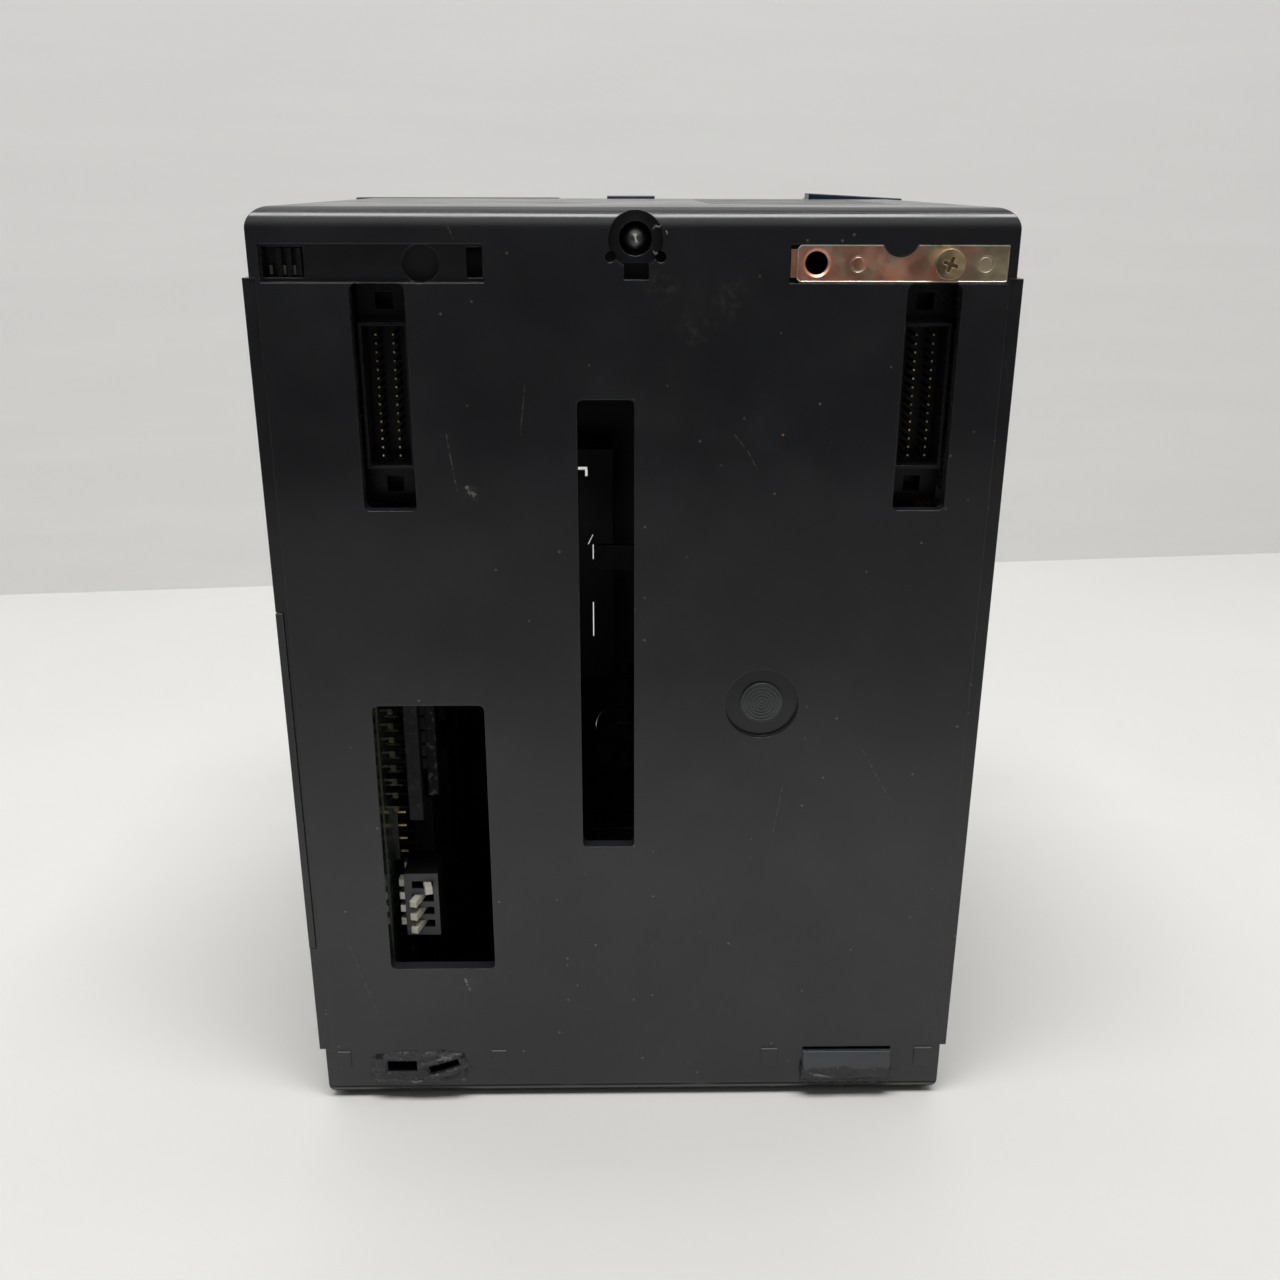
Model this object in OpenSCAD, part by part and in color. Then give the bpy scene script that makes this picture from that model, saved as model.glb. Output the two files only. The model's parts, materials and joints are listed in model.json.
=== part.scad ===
// Double-width module of a rack-mounted programmable controller: processor and
// power supply in one case. The rear face with its bus connectors faces -Y, the
// hinged front doors face +Y, and the module stands on its base at Z = 0.

/* [Case] */
// Width over the two side cheeks
case_w = 110; // [108:1:116]
// Height of the case, base to top
case_h = 150; // [150:0.5:151]
// Depth from the rear face to the front of the doors
case_d = 105; // [104.5:0.5:108]
// Wall thickness of the mouldings
wall = 2.2; // [2:0.1:2.4]
// How far each side cheek stands proud of the cap
cheek_step = 1.05; // [0.8:0.05:1.2]
// Radius of the rounded edges at the cap and the base
edge_r = 3; // [2:0.5:3.5]

/* [Rear face] */
// Width of the long see-through slot
slot_w = 8.4; // [6:0.2:8.4]
// Pitch of the bus connector pins down a row
pin_pitch = 1.27; // [1.27:0.01:1.28]
// Pins in each row of a bus connector
pins_per_row = 15; // [5:1:15]
// Height of the middle of the bus connectors
bus_z = 123.43; // [123:0.01:124]
// Depth of the shallow recesses that hold the ground plates
recess_d = 1; // [0.8:0.1:1.2]
// Thickness of the ground plate
plate_t = 0.9; // [0.6:0.1:1]

/* [Switches] */
// Number of levers in the setting switch
lever_count = 4; // [1:1:4]
// Pitch of the setting levers
lever_pitch = 2.54; // [2.54:0.01:2.6]
// Angle from a lever's middle to its stop
lever_throw = 16; // [10:1:16]

/* [Fixing screw] */
// Radius of the captive screw's shank
screw_r = 2; // [1.8:0.05:2.05]
// How far the captive screw can travel rearwards
screw_travel = 7.4; // [5:0.2:7.4]

/* [Doors] */
// Thickness of the front doors
door_t = 2.4; // [2:0.1:2.4]
// Radius of the doors' curved top
door_top_r = 14; // [8:1:16]
// Radius of the moulded hinge pins
hinge_r = 1.3; // [1:0.1:1.4]
// Radial running clearance of pins and rotors
run = 0.06; // [0.03:0.01:0.1]

/* [Terminals] */
// Number of screw terminals
terminal_count = 8; // [4:1:8]
// Pitch of the screw terminals
terminal_pitch = 13; // [12:0.5:13]

/* [Hidden] */
$fn = 48;

eps = 0.01;
big = 300;
stub_proud = 1.2;
pad_proud = 0.25;
rear_y = -(case_d + stub_proud) / 2 + stub_proud;
half_w = case_w / 2;
cap_x = half_w - cheek_step;
cheek_z = [10.3, 140.5];
shoulder_y = 84.4;
deck_z = case_h - wall;
front_r = 14;
front_deck_z = 147.4;
inner_x = cap_x - wall;
face_y = 97;
door_y = case_d - door_t;
door_rear_y = 85;

recess_z = [139.85, 145.1];
left_recess_x = [-52.4, -21.2];
right_recess_x = [21.8, 52.7];
bus_x = [-36.31, 42.54];
bus_slot_z = [107, 139.8];
bus_slot_w = 7.8;
row_gap = 2.54;
ear_y = 5.6;
pin_w = 0.45;
pin_tip_w = 0.24;
window_x = [-41.4, -23.7];
window_z = [26.75, 75.5];
slot_x = -slot_w;
slot_z = [50.2, 123.5];
screw_x = 0.13;
screw_z = 145.8;
plate_screw = [44.2, 142.5];
plate_hole = [25.6, 142.6];
notch_mid = [37.3, 146.05];

main_x = -41.7;
board_t = 1.6;
power_x = 47.9;
post_r = 2.8;
post_y = 69;
post_sites = [[-49, 7], [49, 7], [-49, 134], [49, 134]];

switch_face_y = 5.5;
switch_x = [-39.3, -33.5];
switch_z = [30, 42];
lever_x = -36.2;
lever_top_z = 39.9;
pivot_y = 8.4;

column_x = [-13.6, 9.2];
column_y = 103;
bay_x = [-12.7, -4.6];
bay_z = [47, 98];
bay_floor_y = 86;
lens_z = [102, 133];
key_x = -2.2;
key_z = 27;
hood_x = [-4.6, 5];
hood_z = [140.6, 150.45];
head_y = 96;
tip_y = 2.2;

left_door_x = [-54.8, -14.4];
right_door_x = [10, 54.8];
door_z = [5.3, 150.1];
strip_w = 27;
strip_z = [30, 118];
strip_seat = 0.4;
hinge_x = 51.5;
hinge_y = 99.5;
ear_r = 2.7;
ear_z = [[2, 4.8], [132, 134.8]];

port_x = -33;
service_z = 116;
network_z = 66;
battery_z = 22;
contact_pitch = 2.76;
terminal_x = [22, 44];
terminal_z = 18;

function around(middle, width) = [middle - width / 2, middle + width / 2];
function lever_z(i) = lever_top_z - i * lever_pitch;
function pin_z(i) = bus_z + (i - (pins_per_row - 1) / 2) * pin_pitch;

// ---- helpers: all shapes are drawn from the rear face, y being depth ----

module placed() { translate([0, rear_y, 0]) children(); }

module block(x, y, z) {
    translate([x[0], y[0], z[0]]) cube([x[1] - x[0], y[1] - y[0], z[1] - z[0]]);
}

// Rectangle with round corners, as squares and circles
module round_rect(x, z, r) {
    translate([x[0] + r, z[0]]) square([x[1] - x[0] - 2 * r, z[1] - z[0]]);
    translate([x[0], z[0] + r]) square([x[1] - x[0], z[1] - z[0] - 2 * r]);
    for (px = [x[0] + r, x[1] - r], pz = [z[0] + r, z[1] - r]) translate([px, pz]) circle(r);
}

// An outline drawn in X and Z, made solid between two depths
module along_y(y) {
    translate([0, y[1], 0]) rotate([90, 0, 0]) linear_extrude(y[1] - y[0]) children();
}

// An outline drawn in Y and Z, made solid between two widths
module along_x(x) {
    translate([x[0], 0, 0]) rotate([90, 0, 90]) linear_extrude(x[1] - x[0]) children();
}

// Round rods, each drawn between two values along its own axis
module rod_y(x, y, z, r) {
    translate([x, y[0], z]) rotate([-90, 0, 0]) cylinder(h = y[1] - y[0], r = r);
}

module rod_x(x, y, z, r) {
    translate([x[0], y, z]) rotate([0, 90, 0]) cylinder(h = x[1] - x[0], r = r);
}

module rod_z(x, y, z, r) {
    translate([x, y, z[0]]) cylinder(h = z[1] - z[0], r = r);
}

module round_block(x, y, z, r) { along_y(y) round_rect(x, z, r); }

// Cross recess of a screw whose head faces -Y at depth y
module cross(x, y, z, size, depth) {
    for (a = [0, 90]) translate([x, y + depth / 2 - eps, z]) rotate([0, a + 20, 0])
        cube([size, depth, size / 4], center = true);
}

// ---- case ----

module case_solid() {
    intersection() {
        round_block([-cap_x, cap_x], [0, shoulder_y], [0, case_h], edge_r);
        along_x([-big, big]) union() {
            round_rect([0, 4 * edge_r], [0, case_h], edge_r);
            translate([edge_r, 0]) square([shoulder_y, case_h]);
        }
    }
    block([-half_w, half_w], [0, shoulder_y], cheek_z);
}

module vents(z) {
    for (y = [24 : 6 : 72]) block([12, 42], [y, y + 2], z);
}

module rear_case() color("#2b2d33") placed() difference() {
    union() {
        difference() {
            case_solid();
            block([-inner_x, inner_x], [wall, big], [wall, deck_z]);
        }
        for (p = post_sites) rod_y(p[0], [post_y, shoulder_y], p[1], post_r);
        rod_y(plate_screw[0], [wall - eps, 11], plate_screw[1], 2.6);
        hook_stubs();
        for (x = [[-51.8, -49.6], [-24.9, -22.4], [22.4, 25.2], [49.4, 52.4]])
            block(x, [-pad_proud, wall], [6.4, 10]);
    }
    for (s = [-1, 1]) block(s < 0 ? [-big, -53.1] : [53.1, big], [-eps, 0.2], cheek_z);
    side_cover_seat();
    for (i = [0, 1])
        round_block(around(bus_x[i], bus_slot_w), [-1, wall + 1], bus_slot_z, 0.9);
    round_block([slot_x, 0], [-1, wall + 1], slot_z, 0.8);
    round_block(window_x, [-1, wall + 1], window_z, 1);
    block(left_recess_x, [-1, recess_d], recess_z);
    difference() {
        block(right_recess_x, [-1, recess_d], recess_z);
        rod_y(notch_mid[0], [-1, 2], notch_mid[1], 2.55);
    }
    block([-52.2, -46.4], [0, wall + 1], [140.5, 144.7]);
    block([-23.6, -21.4], [0, wall + 1], [140.5, 144.6]);
    rod_y(-30.1, [0, recess_d + 0.7], 142.4, 2.65);
    fixing_recess();
    gate_mark();
    block([-43.2, -38.1], [-1, wall + 1], [6.1, 8.2]);
    translate([-33.3, 0, 7.1]) rotate([0, -17, 0]) block([-2.7, 2.7], [-1, wall + 1], [-0.65, 0.65]);
    block([29.7, 45.2], [-2, 0.7], [9.6, 10.2]);
    rod_y(plate_screw[0], [-1, 9], plate_screw[1], 1.25);
    rod_y(plate_hole[0], [-1, wall + 1], plate_hole[1], 1.8);
    for (p = post_sites) rod_y(p[0], [post_y + 2, shoulder_y + 1], p[1], 1.25);
    rod_y(screw_x, [wall, shoulder_y + 1], screw_z, 2.35);
    vents([-1, wall + 1]);
    vents([deck_z - 1, case_h + 1]);
}

// What is left of the two bottom hooks
module hook_stubs() {
    along_x([29.7, 45.2]) polygon([[0, 4.2], [-0.9, 4.6],
        [-stub_proud, 6.2], [-1, 6.6], [-0.3, 9.6], [0.5, 9.6], [0.5, 4.2]]);
    along_x([-45.3, -29.7]) polygon([[0, 3.4], [-0.5, 4.4],
        [-0.7, 5.8], [-0.5, 8.6], [0, 9.4], [0.5, 9.4], [0.5, 3.4]]);
}

module fixing_recess() {
    rod_y(0.15, [-1, 1.6], 145.7, 3.9);
    rod_y(screw_x, [-1, wall + 1], screw_z, 2.35);
    for (x = [-3.4, 3.7]) rod_y(x, [-1, wall + 1], 143.4, 0.78);
    block([-1.5, 2], [-1, wall + 1], [140.3, 142.5]);
}

module gate_mark() {
    difference() {
        rod_y(20.2, [-1, 0.9], 75.6, 5.85);
        rod_y(20.2, [0.5, 1], 75.6, 3.4);
    }
}

module side_cover_seat() { block([-big, -half_w + 1.2], [-1, 62.2], [30.9, 91.1]); }

module left_side_cover() color("#2a2c32") placed() difference() {
    block([-half_w, -half_w + 1.1], [0, 62], [31.1, 90.9]);
    block([-big, -half_w + 0.5], [54, 58], [52, 70]);
}

// Side view of the front case: straight front with a round top edge
module front_outline(front, inset) {
    cz = front_deck_z - front_r;
    translate([front - front_r, cz]) circle(front_r - inset);
    translate([60, inset]) square([front - 60 - inset, cz - inset]);
    translate([60, cz - eps]) square([front - front_r - 60, front_r - inset + eps]);
}

module front_shell() difference() {
    intersection() {
        along_x([-cap_x, cap_x]) front_outline(face_y, 0);
        block([-big, big], [shoulder_y, big], [0, big]);
    }
    along_x([-inner_x, inner_x]) front_outline(face_y, wall);
}

module column() {
    intersection() {
        along_x(column_x) front_outline(column_y, 0);
        block([-big, big], [face_y - wall, big], [1, big]);
    }
    block([bay_x[0] - 0.9, bay_x[1] + 1], [bay_floor_y, face_y], [bay_z[0] - 1, bay_z[1] + 1]);
}

module front_case() color("#303239") placed() difference() {
    union() {
        front_shell();
        column();
        for (s = [-1, 1], z = ear_z) {
            rod_z(s * hinge_x, hinge_y, z, ear_r);
            block([s * hinge_x - ear_r, s * hinge_x + ear_r], [face_y - 1, hinge_y], z);
        }
    }
    block([column_x[0] + 1, column_x[1] - 1], [face_y - wall - 1, column_y - 1.6], [2.4, bay_z[0] - 1]);
    block([column_x[0] + 1, column_x[1] - 1], [face_y, column_y - 1.6], [bay_z[1] + 1, 134.5]);
    block(bay_x, [bay_floor_y + 1, column_y + 1], bay_z);
    bay_keyways();
    block([-11.8, 7.4], [column_y - 2, column_y + 1], lens_z);
    rod_y(key_x, [column_y - 3, column_y + 1], key_z, 6.1);
    block([hood_x[0] - 0.1, hood_x[1] + 0.1], [shoulder_y - 1, column_y + 1], [hood_z[0] - 0.1, case_h]);
    for (s = [-1, 1], z = ear_z) rod_z(s * hinge_x, hinge_y, [z[0] - 1, z[1] + 1], hinge_r + run);
    for (p = [[service_z, 33.3, 24.6], [network_z, 47, 38.3]]) {
        block([port_x - 6.4, port_x + 6.4], [face_y - 1.5, face_y + 1],
            [p[0] - p[1] / 2 - 3.2, p[0] + p[1] / 2 + 3.2]);
        block([port_x - 4.4, port_x + 4.4], [face_y - wall - 1, face_y],
            [p[0] - p[2] / 2 - 0.4, p[0] + p[2] / 2 + 0.4]);
    }
    block([-46.2, -17.8], [face_y - wall - 1, face_y + 1], [battery_z - 8.2, battery_z + 8.2]);
    block([terminal_x[0] - 0.2, terminal_x[1] + 0.2], [face_y - wall - 1, face_y + 1],
        [terminal_z - 2.2, terminal_z + terminal_count * terminal_pitch + 2.2]);
    for (p = post_sites) {
        rod_y(p[0], [shoulder_y - 1, face_y + 1], p[1], 1.6);
        rod_y(p[0], [face_y - 1.2, face_y + 1], p[1], 3);
    }
}

// Coding cut-outs in the floor of the empty cartridge bay
module bay_keyways() {
    block([-11.75, -9.25], [bay_floor_y - 1, bay_floor_y + 2], [94.3, 95.1]);
    block([-9.75, -9.2], [bay_floor_y - 1, bay_floor_y + 2], [92.9, 94.5]);
    translate([-8.72, 0, 78.75]) rotate([0, 25.5, 0])
        block([-0.12, 0.12], [bay_floor_y - 1, bay_floor_y + 2], [-1.3, 1.3]);
    block([-8.28, -8.04], [bay_floor_y - 1, bay_floor_y + 2], [74.1, 77.7]);
    block([-8.36, -8.14], [bay_floor_y - 1, bay_floor_y + 2], [55.9, 64.3]);
}

module shield_plate() color("#9a9c9a") placed() difference() {
    union() {
        block([3, 3.8], [6, 80], [8, 134]);
        block([-6.8, 3.4], [60, 60.8], [79.6, 84.9]);
        block([3, 12], [6, 6.8], [8, 134]);
    }
    for (y = [16 : 8 : 72], z = [[20, 44], [96, 120]]) block([2, 5], [y, y + 3], z);
}

module case_screws() color("#b8a860") placed() for (p = post_sites) difference() {
    union() {
        rod_y(p[0], [post_y + 4, face_y - 1.2 + eps], p[1], 1.2);
        rod_y(p[0], [face_y - 1.2, face_y - 0.2], p[1], 2.7);
    }
    translate([0, face_y - 0.2, 0]) mirror([0, 1, 0]) cross(p[0], 0, p[1], 3, 0.9);
}

// ---- ground plate and contacts ----

module plate_outline() difference() {
    polygon([[23.3, 140.1], [52.6, 140.1], [52.6, 145], [23.35, 145], [22.9, 144.55], [22.9, 140.5]]);
    translate(notch_mid) circle(2.65);
    translate(plate_hole) circle(1.6);
    translate(plate_screw) circle(1.45);
}

module ground_plate() color("#b9a58c") placed() difference() {
    union() {
        along_y([recess_d - plate_t, recess_d]) plate_outline();
        block([21.95, 23], [recess_d - plate_t + 0.3, recess_d], [140.65, 144.45]);
    }
    translate([plate_hole[0], recess_d - plate_t - eps, plate_hole[1]]) rotate([-90, 0, 0])
        cylinder(h = 0.3, r1 = 1.95, r2 = 1.6);
    for (x = [31.4, 49.4]) difference() {
        rod_y(x, [0, recess_d - plate_t + 0.12], 142.5, 1.1);
        rod_y(x, [-1, 2], 142.5, 0.9);
    }
}

module ground_plate_screw() color("#a8935a") placed() difference() {
    union() {
        rod_y(plate_screw[0], [-0.9, recess_d - plate_t], plate_screw[1], 2.1);
        rod_y(plate_screw[0], [0, 8], plate_screw[1], 1.2);
    }
    cross(plate_screw[0], -0.9, plate_screw[1], 2.2, 0.8);
}

module contact_block() color("#1c1d20") placed() {
    block([-51.6, -46.5], [wall, wall + 6], [137.6, 146.8]);
    for (x = [-50.2, -48.8, -47.4]) block([x, x + 0.7], [wall - 0.9, wall + eps], [140.7, 144.5]);
}

module ground_contacts() color("#c9b26a") placed()
    for (x = [-51.1, -49.2, -47.8]) block([x - 0.2, x + 0.2], [wall - 0.7, wall], [140.9, 142.1]);

// ---- bus connectors ----

module bus_housing(x, board) color("#17181b") placed() difference() {
    union() {
        block([x - 3.85, x + 3.85], [ear_y, 10.5], [107.1, 139.7]);
        block([x - 3.55, x + 3.55], [3, ear_y + eps], [bus_z - 10.7, bus_z + 10.7]);
    }
    block([x - 3.1, x + 3.1], [2, 8.5], [bus_z - 10.25, bus_z + 10.25]);
    for (z = [109.9, 137]) block([x - 1.25, x + 1.25], [3, 9], [z - 1.2, z + 1.2]);
    bus_pin_solids(x, board);
}

// Two rows of square pins, each bent sideways behind the housing to its board
module bus_pin_solids(x, board) {
    for (i = [0 : pins_per_row - 1], row = [-1, 1]) {
        px = x + row * row_gap / 2;
        back = 13 + (board < x ? row : -row) * 0.8;
        z = around(pin_z(i), pin_w);
        block(around(px, pin_tip_w), [4, 4.6 + eps], around(pin_z(i), pin_tip_w));
        block(around(px, pin_w), [4.6, back + pin_w], z);
        block([min(px - pin_w / 2, board), max(px + pin_w / 2, board)], [back, back + pin_w], z);
    }
}

module bus_connector_left() bus_housing(bus_x[0], main_x);
module bus_connector_right() bus_housing(bus_x[1], power_x);
module bus_pins_left() color("#c8a24a") placed() bus_pin_solids(bus_x[0], main_x);
module bus_pins_right() color("#c8a24a") placed() bus_pin_solids(bus_x[1], power_x);

// ---- main board ----

module main_board() color("#2c5a3c") placed() difference() {
    block([main_x - board_t, main_x], [5, 81], [12, 142]);
    for (y = [22, 77], z = [17, 137]) rod_x([main_x - 3, main_x + 1], y, z, 1.6);
}

module switch_pocket(i) {
    block(around(lever_x, 3.6), [switch_face_y - 1, switch_face_y + 4.2], around(lever_z(i), 1.5));
}

module setting_switch_body() color("#4a4c4f") placed() difference() {
    block(switch_x, [switch_face_y, 13.5], switch_z);
    for (i = [0 : lever_count - 1]) switch_pocket(i);
}

module setting_lever(i, side) color("#e6e3d8") placed()
    translate([lever_x, pivot_y, lever_z(i)]) rotate([0, 0, side * lever_throw]) {
        block([-0.6, 0.6], [-5.2, 0], [-0.6, 0.6]);
        cylinder(h = 1.2, r = 0.9, center = true);
    }

module setting_lever_1() setting_lever(0, 1);
module setting_lever_2() setting_lever(1, -1);
module setting_lever_3() setting_lever(2, -1);
module setting_lever_4() setting_lever(3, -1);

module setting_switch_leads() color("#cfcfc8") placed()
    for (i = [0 : lever_count - 1], y = [6.4, 12.2]) {
        block([main_x, switch_x[0]], [y + 1.3, y + 1.6], around(lever_z(i), 0.4));
        block([-40.3, switch_x[0]], [y - 0.15, y + 1.6], around(lever_z(i), 1.3));
    }

module resistor_network_near() color("#55585c") placed()
    block([-37.6, -35.3], [5.6, 8], [52.3, 77.8]);

module resistor_network_far() color("#6a6c6c") placed()
    block([-34.9, -33.2], [10, 12.4], [54.8, 80.2]);

module resistor_leads() color("#cfcfc8") placed() for (i = [0 : 9]) {
    z = 53.9 + i * 2.54;
    block([main_x, -37.6], [7.2, 7.5], around(z, 0.3));
    block([-40.4, -39.4], [6.6, 7.5], around(z, 1));
    block([main_x, -34.9], [11, 11.3], around(z + 2.3, 0.3));
}

module jumper_base() color("#1c1d20") placed() block([main_x, main_x + 0.8], [12, 14.4], [41.1, 51.3]);

module jumper_pins() color("#c8a24a") placed() for (i = [0 : 3])
    block([main_x + 0.8, -39.6], [12.9, 13.3], around(42.4 + i * 2.54, 0.36));

module processor_chip() color("#202226") placed() {
    block([main_x + 0.6, main_x + 4], [36, 60], [84, 108]);
    for (i = [0 : 16]) {
        block([main_x, main_x + 2], [35.4, 60.6], [85.2 + i * 1.33, 85.8 + i * 1.33]);
        block([main_x, main_x + 2], [37.2 + i * 1.33, 37.8 + i * 1.33], [83.4, 108.6]);
    }
}

module memory_chips() color("#1d1f22") placed() for (z = [20, 52], y = [26, 48, 66]) {
    block([main_x + 1, main_x + 4.6], [y, y + 13.5], [z, z + 26]);
    for (i = [0 : 9]) block([main_x, main_x + 2.4], [y - 0.5, y + 14], around(z + 1.65 + i * 2.54, 0.5));
}

module crystal_can() color("#c4c6c8") placed() {
    block([main_x, main_x + 3.6], [68, 72.6], [90, 101]);
    for (z = [112, 120]) rod_x([main_x, main_x + 7], 70, z, 3.1);
}

// ---- power supply ----

module power_board() color("#a08a4c") placed() difference() {
    block([power_x, power_x + board_t], [5, 68], [12, 138.5]);
    for (y = [24, 62], z = [17, 132]) rod_x([power_x - 1, power_x + 3], y, z, 1.6);
}

module transformer_core() color("#6c6e72") placed() difference() {
    block([power_x - 26, power_x - 1], [22, 54], [40, 74]);
    for (y = [28, 42]) block([power_x - 30, power_x + 1], [y, y + 6], [39, 75]);
}

module transformer_coil() color("#c7b23a") placed() difference() {
    block([power_x - 30, power_x], [28.1, 47.9], [42, 72]);
    block([power_x - 31, power_x - 0.9], [33.9, 42.1], [39, 75]);
}

module filter_capacitors() color("#26324a") placed() {
    for (z = [84, 98]) rod_x([power_x - 26, power_x], 30, z, 6.2);
    rod_x([power_x - 32, power_x], 48, 92, 8);
    for (z = [30, 20]) rod_x([power_x - 14, power_x], 60, z, 4);
}

module heat_sink() color("#8e9094") placed() {
    block([power_x - 30, power_x - 4], [66, 68], [48, 100]);
    for (i = [0 : 5]) block([power_x - 29 + i * 5, power_x - 27.6 + i * 5], [68 - eps, 76], [48, 100]);
}

module power_transistors() color("#1b1c1f") placed() for (z = [56, 74, 88]) {
    block([power_x - 20, power_x - 9.8], [61.4, 66], [z, z + 10]);
    for (i = [0 : 2]) block([power_x - 9.8, power_x], [63, 63.6], [z + 2 + i * 2.54, z + 2.8 + i * 2.54]);
}

module fuse() color("#dfe6e8") placed() rod_z(power_x - 6, 58, [108, 128], 2.6);

module fuse_clips() color("#c2c4c6") placed() for (z = [108.5, 122.5]) difference() {
    block([power_x - 9.4, power_x], [54.6, 61.4], [z, z + 5]);
    rod_z(power_x - 6, 58, [z - 1, z + 6], 2.6);
    block([power_x - 10, power_x - 6], [56, 60], [z - 1, z + 6]);
}

// ---- front column ----

module front_board() color("#2c5a3c") placed()
    block([column_x[0] + 1.4, column_x[1] - 1.4], [97.6, 99.2], [bay_z[1] + 2, 134]);

module indicator_leds() color("#7c2f2c") placed() for (i = [0 : 5], x = [-9, 4.4]) {
    rod_y(x, [99.2, 101.2], 104.6 + i * 5.2, 1.5);
    rod_y(x, [99.2, 99.9], 104.6 + i * 5.2, 1.9);
}

module indicator_lens() color("#182a40") placed() {
    block([-11.7, 7.3], [column_y - 1.6, column_y + 0.3], [lens_z[0] + 0.1, lens_z[1] - 0.1]);
}

module screw_hood() color("#1a3350") placed() difference() {
    intersection() {
        block(hood_x, [door_rear_y, column_y], hood_z);
        along_x([-10, 10]) union() {
            translate([door_rear_y, 130]) square([10, 30]);
            round_rect([door_rear_y, column_y], [130, hood_z[1]], 8);
        }
    }
    rod_y(screw_x, [head_y - 1.6 - screw_travel, column_y + 1], screw_z, 3.9);
    rod_y(screw_x, [door_rear_y - 1, 90], screw_z, screw_r + 0.35);
}

module fixing_washer() color("#b9bbbd") placed() difference() {
    rod_y(screw_x, [head_y - 1.4, head_y - 0.05], screw_z, 3.5);
    rod_y(screw_x, [80, 99], screw_z, screw_r + run);
}

module fixing_screw() color("#b9bbbd") placed() difference() {
    union() {
        translate([screw_x, tip_y + screw_r, screw_z]) sphere(screw_r);
        rod_y(screw_x, [tip_y + screw_r, head_y + eps], screw_z, screw_r);
        rod_y(screw_x, [head_y, head_y + 4], screw_z, 3.4);
    }
    translate([0, head_y + 4, 0]) mirror([0, 1, 0]) cross(screw_x, 0, screw_z, 4, 1.6);
}

module key_switch_barrel() color("#b4b6b8") placed() difference() {
    union() {
        rod_y(key_x, [90, column_y + 0.6], key_z, 6);
        rod_y(key_x, [column_y - 3, column_y + 1.2], key_z, 6);
    }
    rod_y(key_x, [92, column_y + 2], key_z, 4 + run);
}

module key_switch_rotor() color("#8f9194") placed() difference() {
    union() {
        rod_y(key_x, [92.1, column_y + 1.2], key_z, 4);
        block(around(key_x, 1.6), [column_y + 1.2 - eps, column_y + 1.9], around(key_z + 2.9, 1.4));
    }
    block(around(key_x, 1.1), [96, column_y + 3], [key_z - 2.8, key_z + 1.6]);
}

module cartridge_socket() color("#1c1d20") placed() difference() {
    block([-6.9, -4.7], [bay_floor_y + 1, bay_floor_y + 8], [50, 95]);
    block([-6.3, -5.3], [bay_floor_y + 3, bay_floor_y + 9], [52, 93]);
}

module cartridge_contacts() color("#c8a24a") placed() for (i = [0 : 15])
    block([-6.3, -6], [bay_floor_y + 3, bay_floor_y + 7.4], [53 + i * 2.54, 54 + i * 2.54]);

// ---- ports, battery and terminals behind the doors ----

module port_shell(z, flange, tongue) {
    block(around(port_x, 12.4), [face_y - 1.5, face_y - 0.7], around(z, flange + 6));
    difference() {
        block(around(port_x, 8.4), [face_y - 5, face_y + 4.4], around(z, tongue));
        block(around(port_x, 7.4), [face_y - 0.7, face_y + 5], around(z, tongue - 1));
    }
}

module jack_hole(z, flange) {
    for (s = [-1, 1]) rod_y(port_x, [face_y - 2, face_y], z + s * flange / 2, 1.5);
}

module service_port() color("#b4b6b8") placed() difference() {
    port_shell(service_z, 33.3, 24.6);
    jack_hole(service_z, 33.3);
}

module network_port() color("#b4b6b8") placed() difference() {
    port_shell(network_z, 47, 38.3);
    jack_hole(network_z, 47);
}

// The dark insulator of each port with its two staggered rows of contacts
module port_insert(z, tongue, count) difference() {
    block(around(port_x, 5.8), [face_y - 0.7, face_y + 4], around(z, tongue - 2.4));
    for (i = [0 : count - 1], s = [-1, 1])
        if (s < 0 || i < count - 1)
            rod_y(port_x + s * 1.42, [face_y + 1, face_y + 5],
                z + (i - (count - 1) / 2 + (s > 0 ? 0.5 : 0)) * contact_pitch, 0.6);
}

module port_contacts() color("#1b1c1f") placed() {
    port_insert(service_z, 24.6, 8);
    port_insert(network_z, 38.3, 13);
}

module port_jackscrews() color("#c2c4c6") placed()
    for (p = [[service_z, 33.3], [network_z, 47]], s = [-1, 1]) difference() {
        union() {
            rod_y(port_x, [face_y - 1.5, face_y + 3.6], p[0] + s * p[1] / 2, 1.45);
            translate([port_x, face_y - 0.7, p[0] + s * p[1] / 2]) rotate([-90, 0, 0])
                cylinder(h = 4.3, r = 2.6, $fn = 6);
        }
        rod_y(port_x, [face_y - 0.5, face_y + 4], p[0] + s * p[1] / 2, 1.2);
    }

module battery_holder() color("#1c1d20") placed() difference() {
    block([-46, -18], [82, face_y], [battery_z - 8, battery_z + 8]);
    rod_x([-44, -20], 91.2, battery_z, 7.1);
    block([-44, -20], [91.2, face_y + 1], [battery_z - 7.1, battery_z + 7.1]);
}

module battery() color("#d8dadb") placed() {
    rod_x([-43.6, -21], 91.2, battery_z, 6.9);
    rod_x([-21 - eps, -20.1], 91.2, battery_z, 2.4);
}

module terminal_block() color("#18191c") placed() difference() {
    block(terminal_x, [86, 101], [terminal_z - 2, terminal_z + terminal_count * terminal_pitch + 2]);
    for (i = [0 : terminal_count - 1]) {
        z0 = terminal_z + i * terminal_pitch + 0.8;
        block([terminal_x[0] + 1.6, terminal_x[1] + 1], [94, 102], [z0, z0 + terminal_pitch - 1.6]);
        rod_y(30, [90, 95], z0 + (terminal_pitch - 1.6) / 2, 1.75);
    }
}

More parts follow.
